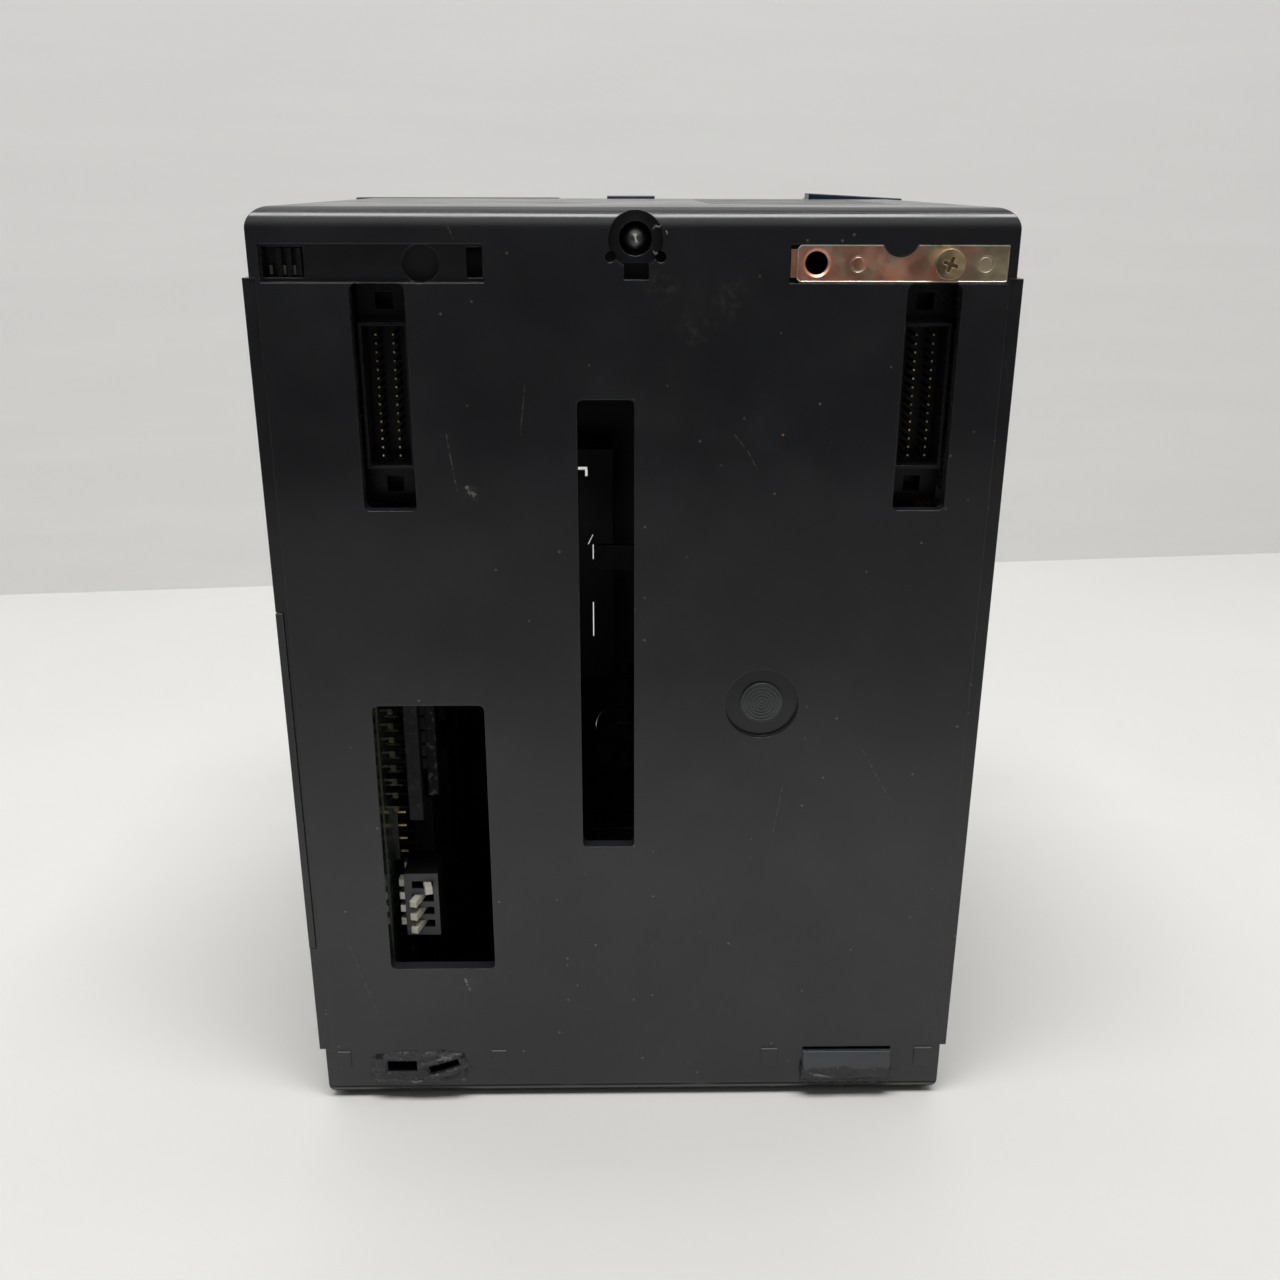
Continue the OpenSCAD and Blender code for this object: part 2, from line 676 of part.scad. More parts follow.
module terminal_plates() color("#c2c4c6") placed() for (i = [0 : terminal_count - 1]) {
    z0 = terminal_z + (i + 0.5) * terminal_pitch;
    difference() {
        block([25.6, 34.4], [94, 95], [z0 - 4.4, z0 + 4.4]);
        rod_y(30, [93, 96], z0, 1.75);
    }
}

module terminal_screws() color("#c8cacc") placed() for (i = [0 : terminal_count - 1]) {
    z0 = terminal_z + (i + 0.5) * terminal_pitch;
    difference() {
        union() {
            rod_y(30, [91, 95 + eps], z0, 1.7);
            rod_y(30, [95, 98], z0, 3.4);
        }
        translate([0, 98, 0]) mirror([0, 1, 0]) cross(30, 0, z0, 4, 1.3);
    }
}

// ---- doors ----

// Side view of a door: flat front, curved top, short return over the deck
module door_outline(rear, bottom, r) {
    cy = case_d - door_top_r;
    cz = door_z[1] - door_top_r;
    translate([cy, cz]) circle(r);
    translate([rear, bottom]) square([cy - rear, cz - bottom + r]);
    translate([rear, bottom]) square([cy - rear + r, cz - bottom]);
}

module door_shell(x) along_x(x) difference() {
    intersection() {
        door_outline(door_rear_y, door_z[0], door_top_r);
        translate([door_rear_y, 0]) square([big, big]);
    }
    door_outline(door_rear_y - 9, door_z[0] - 9, door_top_r - door_t);
}

// Hinge pins moulded on two lugs behind the door's outer edge
module door_pins(side) for (lug = [[door_z[0], 8.5], [ear_z[1][0] - 3.4, ear_z[1][0] - 0.4]]) {
    rod_z(side * hinge_x, hinge_y, lug, 2.4);
    block([side * hinge_x - 1.9, side * hinge_x + 1.9], [hinge_y, door_y + eps], lug);
    pin = lug[0] < case_h / 2 ? [ear_z[0][0] + 0.6, lug[1]] : [lug[0], ear_z[1][1] - 0.4];
    rod_z(side * hinge_x, hinge_y, pin, hinge_r);
}

// Seat for a write-on strip, and finger grooves near a door's lower edge
module door_relief(x) {
    block(around((x[0] + x[1]) / 2, strip_w), [case_d - strip_seat, case_d + 1], strip_z);
    for (i = [0 : 4])
        block([x[0] + 4, x[1] - 4], [case_d - 0.5, case_d + 1], around(10 + 2.2 * i, 0.9));
}

module port_door() color("#1a3350") placed() {
    difference() {
        door_shell(left_door_x);
        door_relief(left_door_x);
    }
    door_pins(-1);
}

module terminal_door() color("#1a3350") placed() {
    difference() {
        door_shell(right_door_x);
        door_relief(right_door_x);
        block([9, 35.9], [door_rear_y - 1, 95.5], [door_z[1] - 0.75, door_z[1] + 1]);
    }
    along_y([door_rear_y, 91]) polygon([[36, door_z[1] - 0.6], [36, 151.05],
        [54.8, door_z[1]], [54.8, door_z[1] - 0.6]]);
    door_pins(1);
}

rear_case();
front_case();
left_side_cover();
shield_plate();
case_screws();
ground_plate();
ground_plate_screw();
contact_block();
ground_contacts();
bus_connector_left();
bus_connector_right();
bus_pins_left();
bus_pins_right();
main_board();
setting_switch_body();
setting_switch_leads();
setting_lever_1();
setting_lever_2();
setting_lever_3();
setting_lever_4();
resistor_network_near();
resistor_network_far();
resistor_leads();
jumper_base();
jumper_pins();
processor_chip();
memory_chips();
crystal_can();
power_board();
transformer_core();
transformer_coil();
filter_capacitors();
heat_sink();
power_transistors();
fuse();
fuse_clips();
front_board();
indicator_leds();
indicator_lens();
screw_hood();
fixing_washer();
fixing_screw();
key_switch_barrel();
key_switch_rotor();
cartridge_socket();
cartridge_contacts();
service_port();
network_port();
port_contacts();
port_jackscrews();
battery_holder();
battery();
terminal_block();
terminal_screws();
terminal_plates();
port_door();
terminal_door();
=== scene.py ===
# Looks of a double-width controller module, seen from behind: a finish for every
# moulding, plating and board, and the torn, coined and threaded details that the
# CAD solids leave out. Lengths are millimetres from the rear face until spot()
# turns them into metres in the row frame.
import json
import math

import bmesh
import bpy
from mathutils import Matrix, Vector, noise


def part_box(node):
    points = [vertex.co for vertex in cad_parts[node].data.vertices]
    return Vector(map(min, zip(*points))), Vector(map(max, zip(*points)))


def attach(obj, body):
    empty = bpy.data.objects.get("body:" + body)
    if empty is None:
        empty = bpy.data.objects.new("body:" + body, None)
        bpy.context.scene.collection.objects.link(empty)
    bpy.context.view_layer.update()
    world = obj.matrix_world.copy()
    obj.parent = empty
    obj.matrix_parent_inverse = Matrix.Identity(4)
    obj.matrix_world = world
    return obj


MM = 0.001
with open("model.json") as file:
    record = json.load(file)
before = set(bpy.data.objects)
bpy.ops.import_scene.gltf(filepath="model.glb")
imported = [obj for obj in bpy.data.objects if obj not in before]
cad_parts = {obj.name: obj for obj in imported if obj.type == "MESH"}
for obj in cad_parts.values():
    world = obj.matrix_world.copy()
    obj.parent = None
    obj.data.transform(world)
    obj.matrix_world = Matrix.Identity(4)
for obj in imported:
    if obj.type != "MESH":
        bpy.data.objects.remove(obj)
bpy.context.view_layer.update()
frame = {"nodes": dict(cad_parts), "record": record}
nodes = frame["nodes"]

REAR_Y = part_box("left_side_cover")[0].y / MM


def spot(x, y, z):
    """A point given in mm from the rear face, in metres in the row frame."""
    return Vector((x, y + REAR_Y, z)) * MM


def span(node):
    """A CAD node's lowest and highest corners in mm from the rear face."""
    return [corner / MM - Vector((0, REAR_Y, 0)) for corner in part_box(node)]


# ---- node helpers ----

class Finish:
    """A Principled material, with short ways to add nodes to it."""

    def __init__(self, name, colour, roughness, **sockets):
        self.material = bpy.data.materials.new(name)
        self.material.use_nodes = True
        self.tree = self.material.node_tree
        self.shader = self.tree.nodes["Principled BSDF"]
        self.place = self.node("ShaderNodeTexCoord").outputs["Object"]
        self.set("Base Color", colour)
        self.set("Roughness", roughness)
        for socket, value in sockets.items():
            self.set(socket.replace("_", " "), value)

    def put(self, socket, value):
        if isinstance(value, bpy.types.NodeSocket):
            self.tree.links.new(value, socket)
        elif socket.type == "RGBA" and len(value) == 3:
            socket.default_value = (*value, 1)
        else:
            socket.default_value = value

    def set(self, socket, value):
        self.put(self.shader.inputs[socket], value)

    def node(self, kind, inputs=None, **settings):
        made = self.tree.nodes.new(kind)
        for key, value in settings.items():
            setattr(made, key, value)
        for key, value in (inputs or {}).items():
            self.put(made.inputs[key], value)
        return made

    def math(self, operation, *values, clamp=False):
        inputs = dict(enumerate(values))
        return self.node("ShaderNodeMath", inputs, operation=operation, use_clamp=clamp).outputs[0]

    def vector(self, operation, *values):
        made = self.node("ShaderNodeVectorMath", dict(enumerate(values)), operation=operation)
        return made.outputs["Value" if operation in ("DISTANCE", "DOT_PRODUCT") else "Vector"]

    def stretch(self, scale):
        return self.node("ShaderNodeMapping", {"Vector": self.place, "Scale": scale}).outputs[0]

    def noise(self, scale, detail=3, where=None, rough=0.55):
        inputs = {"Vector": where or self.place, "Scale": scale, "Detail": detail, "Roughness": rough}
        return self.node("ShaderNodeTexNoise", inputs).outputs[0]

    def cells(self, scale, where=None):
        inputs = {"Vector": where or self.place, "Scale": scale}
        return self.node("ShaderNodeTexVoronoi", inputs, feature="F1")

    def step(self, value, low, high, start=0.0, end=1.0):
        """value from low to high, turned smoothly into start to end."""
        inputs = {0: value, 1: low, 2: high, 3: start, 4: end}
        return self.node("ShaderNodeMapRange", inputs, interpolation_type="SMOOTHSTEP").outputs[0]

    def cloud(self, scale, detail, low, high, start=0.0, end=1.0):
        """Noise from low to high, turned smoothly into start to end."""
        return self.step(self.noise(scale, detail), low, high, start, end)

    def mix(self, share, first, second):
        """A colour between first and second. The colour sockets only exist once data_type is set."""
        made = self.node("ShaderNodeMix", data_type="RGBA", blend_type="MIX")
        for socket, value in ((0, share), (6, first), (7, second)):
            self.put(made.inputs[socket], value)
        return made.outputs[2]

    def ramp(self, value, *stops):
        made = self.node("ShaderNodeValToRGB", {0: value})
        elements = made.color_ramp.elements
        while len(elements) < len(stops):
            elements.new(0.5)
        for element, (position, colour) in zip(elements, stops):
            element.position = position
            element.color = (*colour, 1)
        return made.outputs[0]

    def axis(self, letter):
        return self.node("ShaderNodeSeparateXYZ", {0: self.place}).outputs[letter]

    def soft_edge(self, radius):
        """Normal of the surface with its edges rounded to that radius in mm."""
        return self.node("ShaderNodeBevel", {"Radius": radius * MM}, samples=4).outputs[0]

    def edge_mask(self, normal):
        """1 along the edges that soft_edge rounds, 0 on flat faces."""
        plain = self.node("ShaderNodeNewGeometry").outputs["Normal"]
        flat, turned_away = 0.995, 0.86
        return self.step(self.vector("DOT_PRODUCT", normal, plain), flat, turned_away)

    def bump(self, height, strength, distance, normal=None):
        inputs = {"Height": height, "Strength": strength, "Distance": distance * MM}
        if normal:
            inputs["Normal"] = normal
        return self.node("ShaderNodeBump", inputs).outputs[0]


SOLID_SHARE = 0.35  # the part of a line's half-width where it is at full strength


def tint(colour, factor, lift=0.0):
    """A colour made lighter or darker."""
    return tuple(c * factor + lift for c in colour)


def near_line(f, start, end, width):
    """1 within width mm of the line between two points of the rear face, 0 away from it."""
    a, b = spot(*start), spot(*end)
    along = b - a
    to_point = f.vector("SUBTRACT", f.place, tuple(a))
    reach = f.vector("DOT_PRODUCT", to_point, tuple(along))
    share = f.math("DIVIDE", reach, along.length_squared, clamp=True)
    on_line = f.node("ShaderNodeVectorMath", {0: tuple(along)}, operation="SCALE")
    f.put(on_line.inputs["Scale"], share)
    gap = f.vector("DISTANCE", to_point, on_line.outputs[0])
    return f.step(gap, width * MM, width * SOLID_SHARE * MM)


def near_spot(f, centre, inner, outer):
    """1 within inner mm of a point, fading to 0 at outer mm."""
    gap = f.vector("DISTANCE", f.place, tuple(spot(*centre)))
    return f.step(gap, outer * MM, inner * MM)


def any_of(f, masks):
    """The largest of several masks."""
    total = masks[0]
    for mask in masks[1:]:
        total = f.math("MAXIMUM", total, mask)
    return total


# ---- finishes ----

DUST = (0.16, 0.15, 0.13)
LAYER_THICK, LAYER_SEAM = 0.25, 0.08
RULE_APART, RULE_OUTER, RULE_INNER = 5.5, 0.14, 0.06

# Marks of the rear face: lines as (start, end, half-width), hazes as (centre, radius), in mm
SCRATCHES = [
    ((-27.5, 0, 118.6), (-26.9, 0, 114), 0.13), ((-26.9, 0, 114), (-26.3, 0, 110.2), 0.18),
    ((-15.8, 0, 125.7), (-16.7, 0, 118.4), 0.1), ((14.75, 0, 118.4), (16.9, 0, 115.7), 0.1),
    ((16.9, 0, 115.7), (18.2, 0, 113.2), 0.1), ((-26.2, 0, 148.2), (-25.1, 0, 145.6), 0.09),
    ((36.2, 0, 68.4), (41.7, 0, 58.6), 0.08), ((-48.6, 0, 33), (-44.2, 0, 17.2), 0.07),
    ((24.1, 0, 61.2), (22.8, 0, 52.6), 0.07)]
SCUFFS = [
    ((-24.8, 0, 110.6), (-24, 0, 109.1), 0.4), ((-24.3, 0, 109.9), (-23.6, 0, 109.5), 0.3),
    ((-28.9, 0, 24.6), (-28.3, 0, 22.6), 0.3), ((27, 0, 122.9), (27.1, 0, 122.9), 0.24),
    ((-23.3, 0, 137.6), (-23, 0, 137.3), 0.2)]
HAZES = [((9.05, 0, 133.4), 4), ((13.5, 0, 137.6), 4), ((3.6, 0, 139.6), 3.4),
         ((-24.4, 0, 109.6), 2), ((-28.6, 0, 23.6), 1.8)]
RUST_SPECK = (21.8, 0, 118.4)
PADS_X = [(-51.8, -49.6), (-24.9, -22.4), (22.4, 25.2), (49.4, 52.4)]
PAD_PROUD, PAD_TOP_Z, PAD_HIGHLIGHT_WIDTH = 0.25, 10, 0.16
DARK_LINE_Z, DARK_LINE_OUTER, DARK_LINE_INNER = 2.4, 0.3, 0.1


def moulded(name, colour, roughness=0.36, grain=0.35, edge=0.35, dust=0.5):
    """Moulded plastic: fine grain, slow mottle, rounded worn edges and sparse dust."""
    f = Finish(name, colour, roughness)
    tone = f.mix(f.cloud(38, 5, 0.35, 0.7), tint(colour, 0.84), tint(colour, 1.18))
    rounded = f.soft_edge(edge)
    worn = f.math("MULTIPLY", f.edge_mask(rounded), f.cloud(420, 4, 0.42, 0.72))
    tone = f.mix(f.math("MULTIPLY", worn, 0.5), tone, tint(colour, 2.6, 0.012))
    speck = f.cells(620)
    hue = f.node("ShaderNodeSeparateColor", {0: speck.outputs["Color"]}).outputs[0]
    chosen = f.step(hue, 0.93, 0.95)
    dot = f.math("MULTIPLY", f.step(speck.outputs["Distance"], 0.16, 0.08), chosen)
    f.tone = f.mix(f.math("MULTIPLY", dot, dust), tone, DUST)
    f.rough = f.math("ADD", f.cloud(90, 6, 0.3, 0.75, -0.05, 0.07), roughness)
    f.set("Base Color", f.tone)
    f.set("Roughness", f.rough)
    height = f.math("ADD", f.noise(2600, 2), f.math("MULTIPLY", f.noise(900, 2), 0.7))
    f.normal = f.bump(height, grain, 0.02, rounded)
    f.set("Normal", f.normal)
    return f


def worn_case(name, colour):
    """The rear case's plastic, with the scuffs and scratches of its rear face, a painted highlight
    along the pads' top edges and a dark line low down.
    """
    f = moulded(name, colour, roughness=0.19, grain=0.16, edge=0.2, dust=0.6)
    # A painted highlight along the top edge of each pad, where it catches the light from above
    pad_top_highlight = any_of(f, [near_line(f, (x0, -PAD_PROUD, PAD_TOP_Z), (x1, -PAD_PROUD, PAD_TOP_Z), PAD_HIGHLIGHT_WIDTH)
                        for x0, x1 in PADS_X])
    broken = f.cloud(1500, 4, 0.38, 0.62)
    fine = f.math("MULTIPLY", any_of(f, [near_line(f, *line) for line in SCRATCHES]), 0.28)
    deep = f.math("MULTIPLY", any_of(f, [near_line(f, *line) for line in SCUFFS]), 0.8)
    marks = f.math("MULTIPLY", f.math("MAXIMUM", fine, deep), broken)
    haze = any_of(f, [near_spot(f, centre, 0.5, size) for centre, size in HAZES])
    cloud = f.math("MULTIPLY", haze, f.cloud(700, 6, 0.44, 0.8))
    # Pale for the real scratches, scuffs and hazes, and for the painted highlight on the pads
    marks_and_highlight = f.math("MAXIMUM", marks, f.math("MULTIPLY", cloud, 0.14))
    marks_and_highlight = f.math("MAXIMUM", marks_and_highlight, f.math("MULTIPLY", pad_top_highlight, 0.7))
    # A dark, less shiny line painted along z 2.4, near the bottom of the rear face
    dark_line = f.math("ABSOLUTE", f.math("SUBTRACT", f.axis("Z"), DARK_LINE_Z * MM))
    dark_line = f.math("MULTIPLY", f.step(dark_line, DARK_LINE_OUTER * MM, DARK_LINE_INNER * MM),
                  f.cloud(60, 2, 0.3, 0.5, 0.4, 1))
    tone = f.mix(marks_and_highlight, f.mix(dark_line, f.tone, (0.003, 0.003, 0.003)), (0.22, 0.215, 0.2))
    f.set("Base Color", f.mix(near_spot(f, RUST_SPECK, 0.12, 0.24), tone, (0.3, 0.12, 0.03)))
    f.set("Specular IOR Level", f.step(dark_line, 0, 1, 0.5, 0.12))
    f.set("Roughness", f.math("ADD", f.rough, f.math("MULTIPLY", marks_and_highlight, 0.3)))
    f.set("Normal", f.bump(f.math("ADD", marks, dark_line), -0.5, 0.05, f.normal))
    return f


def plated(name, colour, roughness=0.28, flow=(1, 1, 30), blush=None, edge=0.12):
    """Plated metal: fine drawn grain, cloudy plating and rounded bright edges."""
    f = Finish(name, colour, roughness, Metallic=1.0)
    grain = f.noise(60, 6, f.stretch(flow))
    cloud = f.noise(170, 5)
    bright = tuple(min(1, c) for c in tint(colour, 1.12))
    tone = f.mix(f.step(cloud, 0.35, 0.7), tint(colour, 0.78), bright)
    if blush:
        tone = f.mix(0.75, tone, f.ramp(f.noise(95, 3), *blush))
    rounded = f.soft_edge(edge)
    f.set("Base Color", f.mix(f.math("MULTIPLY", f.edge_mask(rounded), 0.5), tone, (0.9, 0.88, 0.84)))
    f.set("Roughness", f.step(f.math("ADD", grain, f.math("MULTIPLY", cloud, 0.5)), 0.5, 1.0,
                              roughness * 0.75, roughness * 1.5))
    f.set("Normal", f.bump(grain, 0.25, 0.02, rounded))
    return f


def passivated(name, colours, roughness):
    """Passivated zinc sheet: a slow change of hue along X, clouds, and a fine rolled grain."""
    first, second, third = colours
    f = Finish(name, second, roughness, Metallic=1.0)
    low, high = (corner.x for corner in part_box("ground_plate"))
    along = f.step(f.axis("X"), low, high)
    hue = f.math("ADD", along, f.cloud(130, 3, 0.3, 0.7, -0.35, 0.35))
    tone = f.ramp(hue, (0.02, first), (0.16, second), (0.34, first), (0.62, first),
                  (0.75, second), (1, third))
    grain = f.noise(420, 4, f.stretch((0.12, 1, 1)))
    tone = f.mix(f.step(grain, 0.3, 0.7, 0, 0.14), tone, (0.85, 0.76, 0.62))
    rounded = f.soft_edge(0.14)
    # Rounded edges painted pale: a painted highlight where the plate's edges catch the light
    f.set("Base Color", f.mix(f.math("MULTIPLY", f.edge_mask(rounded), 0.6), tone, (0.95, 0.92, 0.86)))
    f.set("Roughness", f.cloud(300, 5, 0.3, 0.7, roughness * 0.85, roughness * 1.25))
    f.set("Normal", f.bump(grain, 0.12, 0.02, rounded))
    return f


def circuit_board(name, colour, copper):
    """Glass-fibre board: solder mask over faint tracks and via dots."""
    f = Finish(name, colour, 0.3, Coat_Weight=0.35, Coat_Roughness=0.18)
    flat = f.node("ShaderNodeCombineXYZ", {"X": f.axis("Y"), "Y": f.axis("Z")}).outputs[0]
    layout = {"Vector": flat, "Scale": 1.0, "Mortar Size": 0.22 * MM, "Brick Width": 12.7 * MM,
              "Row Height": 1.27 * MM, "Mortar Smooth": 0.3}
    tracks = f.node("ShaderNodeTexBrick", layout, offset=0.37, squash=1.0).outputs["Fac"]
    via = f.step(f.cells(390, flat).outputs["Distance"], 0.2, 0.14)
    track = f.math("MULTIPLY", tracks, f.cloud(70, 2, 0.4, 0.55))
    tone = f.mix(track, colour, tint(colour, 1.9))
    tone = f.mix(f.math("MULTIPLY", via, f.cloud(160, 1, 0.5, 0.56)), tone, copper)
    f.set("Base Color", f.mix(f.cloud(1800, 2, 0.5, 0.8, 0, 0.2), tone, (0.05, 0.06, 0.04)))
    f.set("Roughness", f.cloud(240, 4, 0.3, 0.8, 0.24, 0.42))
    f.set("Normal", f.bump(f.math("ADD", track, via), 0.3, 0.03, f.soft_edge(0.1)))
    return f


def coated(name, colour, roughness, speckle, speck_colour, edge=0.25, size=2400, shine=0.5):
    """Dipped or moulded epoxy: speckled, slightly uneven, rounded at the edges."""
    f = Finish(name, colour, roughness, Specular_IOR_Level=shine)
    tone = f.mix(f.cloud(size, 2, 0.55, 0.66, 0, speckle), colour, speck_colour)
    f.set("Base Color", f.mix(f.cloud(120, 4, 0.4, 0.7, 0, 0.4), tone, tint(colour, 0.7)))
    f.set("Roughness", f.cloud(500, 3, 0.3, 0.7, roughness * 0.85, roughness * 1.2))
    f.set("Normal", f.bump(f.noise(1300, 4), 0.35, 0.03, f.soft_edge(edge)))
    return f


def laminated(name, colour):
    """Varnished steel laminations, stacked along Y."""
    f = Finish(name, colour, 0.4, Metallic=0.7)
    layer = f.math("PINGPONG", f.axis("Y"), LAYER_THICK * MM)
    dark_line = f.step(layer, 0.0, LAYER_SEAM * MM, 1.0, 0.0)
    tone = f.mix(dark_line, colour, tint(colour, 0.3))
    f.set("Base Color", f.mix(f.cloud(300, 5, 0.5, 0.75, 0, 0.5), tone, (0.16, 0.09, 0.04)))
    f.set("Roughness", f.cloud(420, 4, 0.3, 0.7, 0.3, 0.55))
    f.set("Normal", f.bump(dark_line, -0.5, 0.05, f.soft_edge(0.3)))
    return f


def taped(name, colour):
    """Wound insulating tape, its overlaps showing as fine steps."""
    f = Finish(name, colour, 0.35, Coat_Weight=0.2)
    laps = {"Vector": f.stretch((1, 0.2, 1)), "Scale": 95, "Distortion": 0.6, "Detail": 2}
    wave = f.node("ShaderNodeTexWave", laps, bands_direction="Z", wave_profile="SAW").outputs["Fac"]
    f.set("Base Color", f.mix(f.step(wave, 0.0, 0.25, 0.5, 0.0), colour, tint(colour, 0.45)))
    f.set("Roughness", f.cloud(260, 4, 0.3, 0.7, 0.28, 0.45))
    f.set("Normal", f.bump(wave, 0.4, 0.08, f.soft_edge(0.4)))
    return f


def sleeved(name, colour, band, band_x):
    """Heat-shrunk sleeve with one plain band across X, shiny and faintly wrinkled."""
    f = Finish(name, colour, 0.25, Coat_Weight=0.4, Coat_Roughness=0.12)
    place = f.axis("X")
    low, high = band_x
    stripe = f.math("MULTIPLY", f.math("GREATER_THAN", place, low * MM),
                    f.math("LESS_THAN", place, high * MM))
    tone = f.mix(f.cloud(150, 4, 0.4, 0.75, 0, 0.35), colour, tint(colour, 0.6))
    f.set("Base Color", f.mix(stripe, tone, band))
    f.set("Roughness", f.cloud(200, 4, 0.3, 0.8, 0.18, 0.36))
    f.set("Normal", f.bump(f.noise(160, 3, f.stretch((3, 1, 1))), 0.25, 0.1, f.soft_edge(0.4)))
    return f


def clear(name, colour, roughness, through):
    """Clear plastic or glass with faint flow lines and handling marks."""
    f = Finish(name, colour, roughness, Transmission_Weight=through, IOR=1.49)
    smear = f.step(f.noise(210, 6, f.stretch((1, 1, 0.4))), 0.5, 0.8)
    f.set("Base Color", f.mix(f.math("MULTIPLY", smear, 0.15), colour, (0.5, 0.5, 0.5)))
    f.set("Roughness", f.math("ADD", f.math("MULTIPLY", smear, 0.12), roughness))
    f.set("Normal", f.bump(f.noise(400, 2), 0.08, 0.03, f.soft_edge(0.25)))
    return f


def torn(name, colour):
    """Broken plastic: rough, dusty and paler where it stretched."""
    f = Finish(name, colour, 0.6)
    crumb = f.noise(900, 8, rough=0.7)
    stress = f.step(crumb, 0.55, 0.75)
    tone = f.mix(f.math("MULTIPLY", stress, 0.5), colour, (0.13, 0.13, 0.125))
    f.set("Base Color", f.mix(f.cloud(1700, 3, 0.66, 0.72, 0, 0.7), tone, (0.3, 0.28, 0.24)))
    f.set("Roughness", f.step(crumb, 0.3, 0.7, 0.42, 0.75))
    f.set("Normal", f.bump(crumb, 0.7, 0.12, f.soft_edge(0.08)))
    return f


def ruled_card(name, colour, line):
    """Pale card with faint ruled lines across it and a little yellowing toward its ends."""
    f = Finish(name, colour, 0.55, Coat_Weight=0.5, Coat_Roughness=0.1)
    rule = f.math("PINGPONG", f.axis("Z"), RULE_APART * MM)
    ruled = f.step(rule, RULE_OUTER * MM, RULE_INNER * MM)
    fibre = f.noise(900, 5, f.stretch((1, 1, 0.3)))
    tone = f.mix(f.step(fibre, 0.3, 0.7, 0, 0.25), colour, tint(colour, 0.86))
    tone = f.mix(f.cloud(40, 3, 0.45, 0.75, 0, 0.4), tone, (0.62, 0.56, 0.42))
    f.set("Base Color", f.mix(f.math("MULTIPLY", ruled, 0.6), tone, line))
    f.set("Roughness", f.step(fibre, 0.3, 0.7, 0.5, 0.66))
    f.set("Normal", f.bump(fibre, 0.15, 0.02, f.soft_edge(0.1)))
    return f


def shade_along(f, letter, start, end, colour):
    """Turns a finish to another colour between two places along an axis, in mm from the rear face."""
    offset = REAR_Y if letter == "Y" else 0
    share = f.step(f.axis(letter), (start + offset) * MM, (end + offset) * MM)
    base = f.shader.inputs["Base Color"]
    f.set("Base Color", f.mix(share, base.links[0].from_socket, colour))


PINK, SAND, OLIVE = (0.76, 0.36, 0.25), (0.68, 0.48, 0.32), (0.62, 0.5, 0.33)
ZINC_BLUSH = [(0.3, (0.64, 0.44, 0.23)), (0.6, (0.52, 0.42, 0.25)), (0.8, (0.66, 0.37, 0.23))]
TURNED, DRAWN, LEAD = (10, 1, 10), (4, 1, 4), (1, 6, 6)

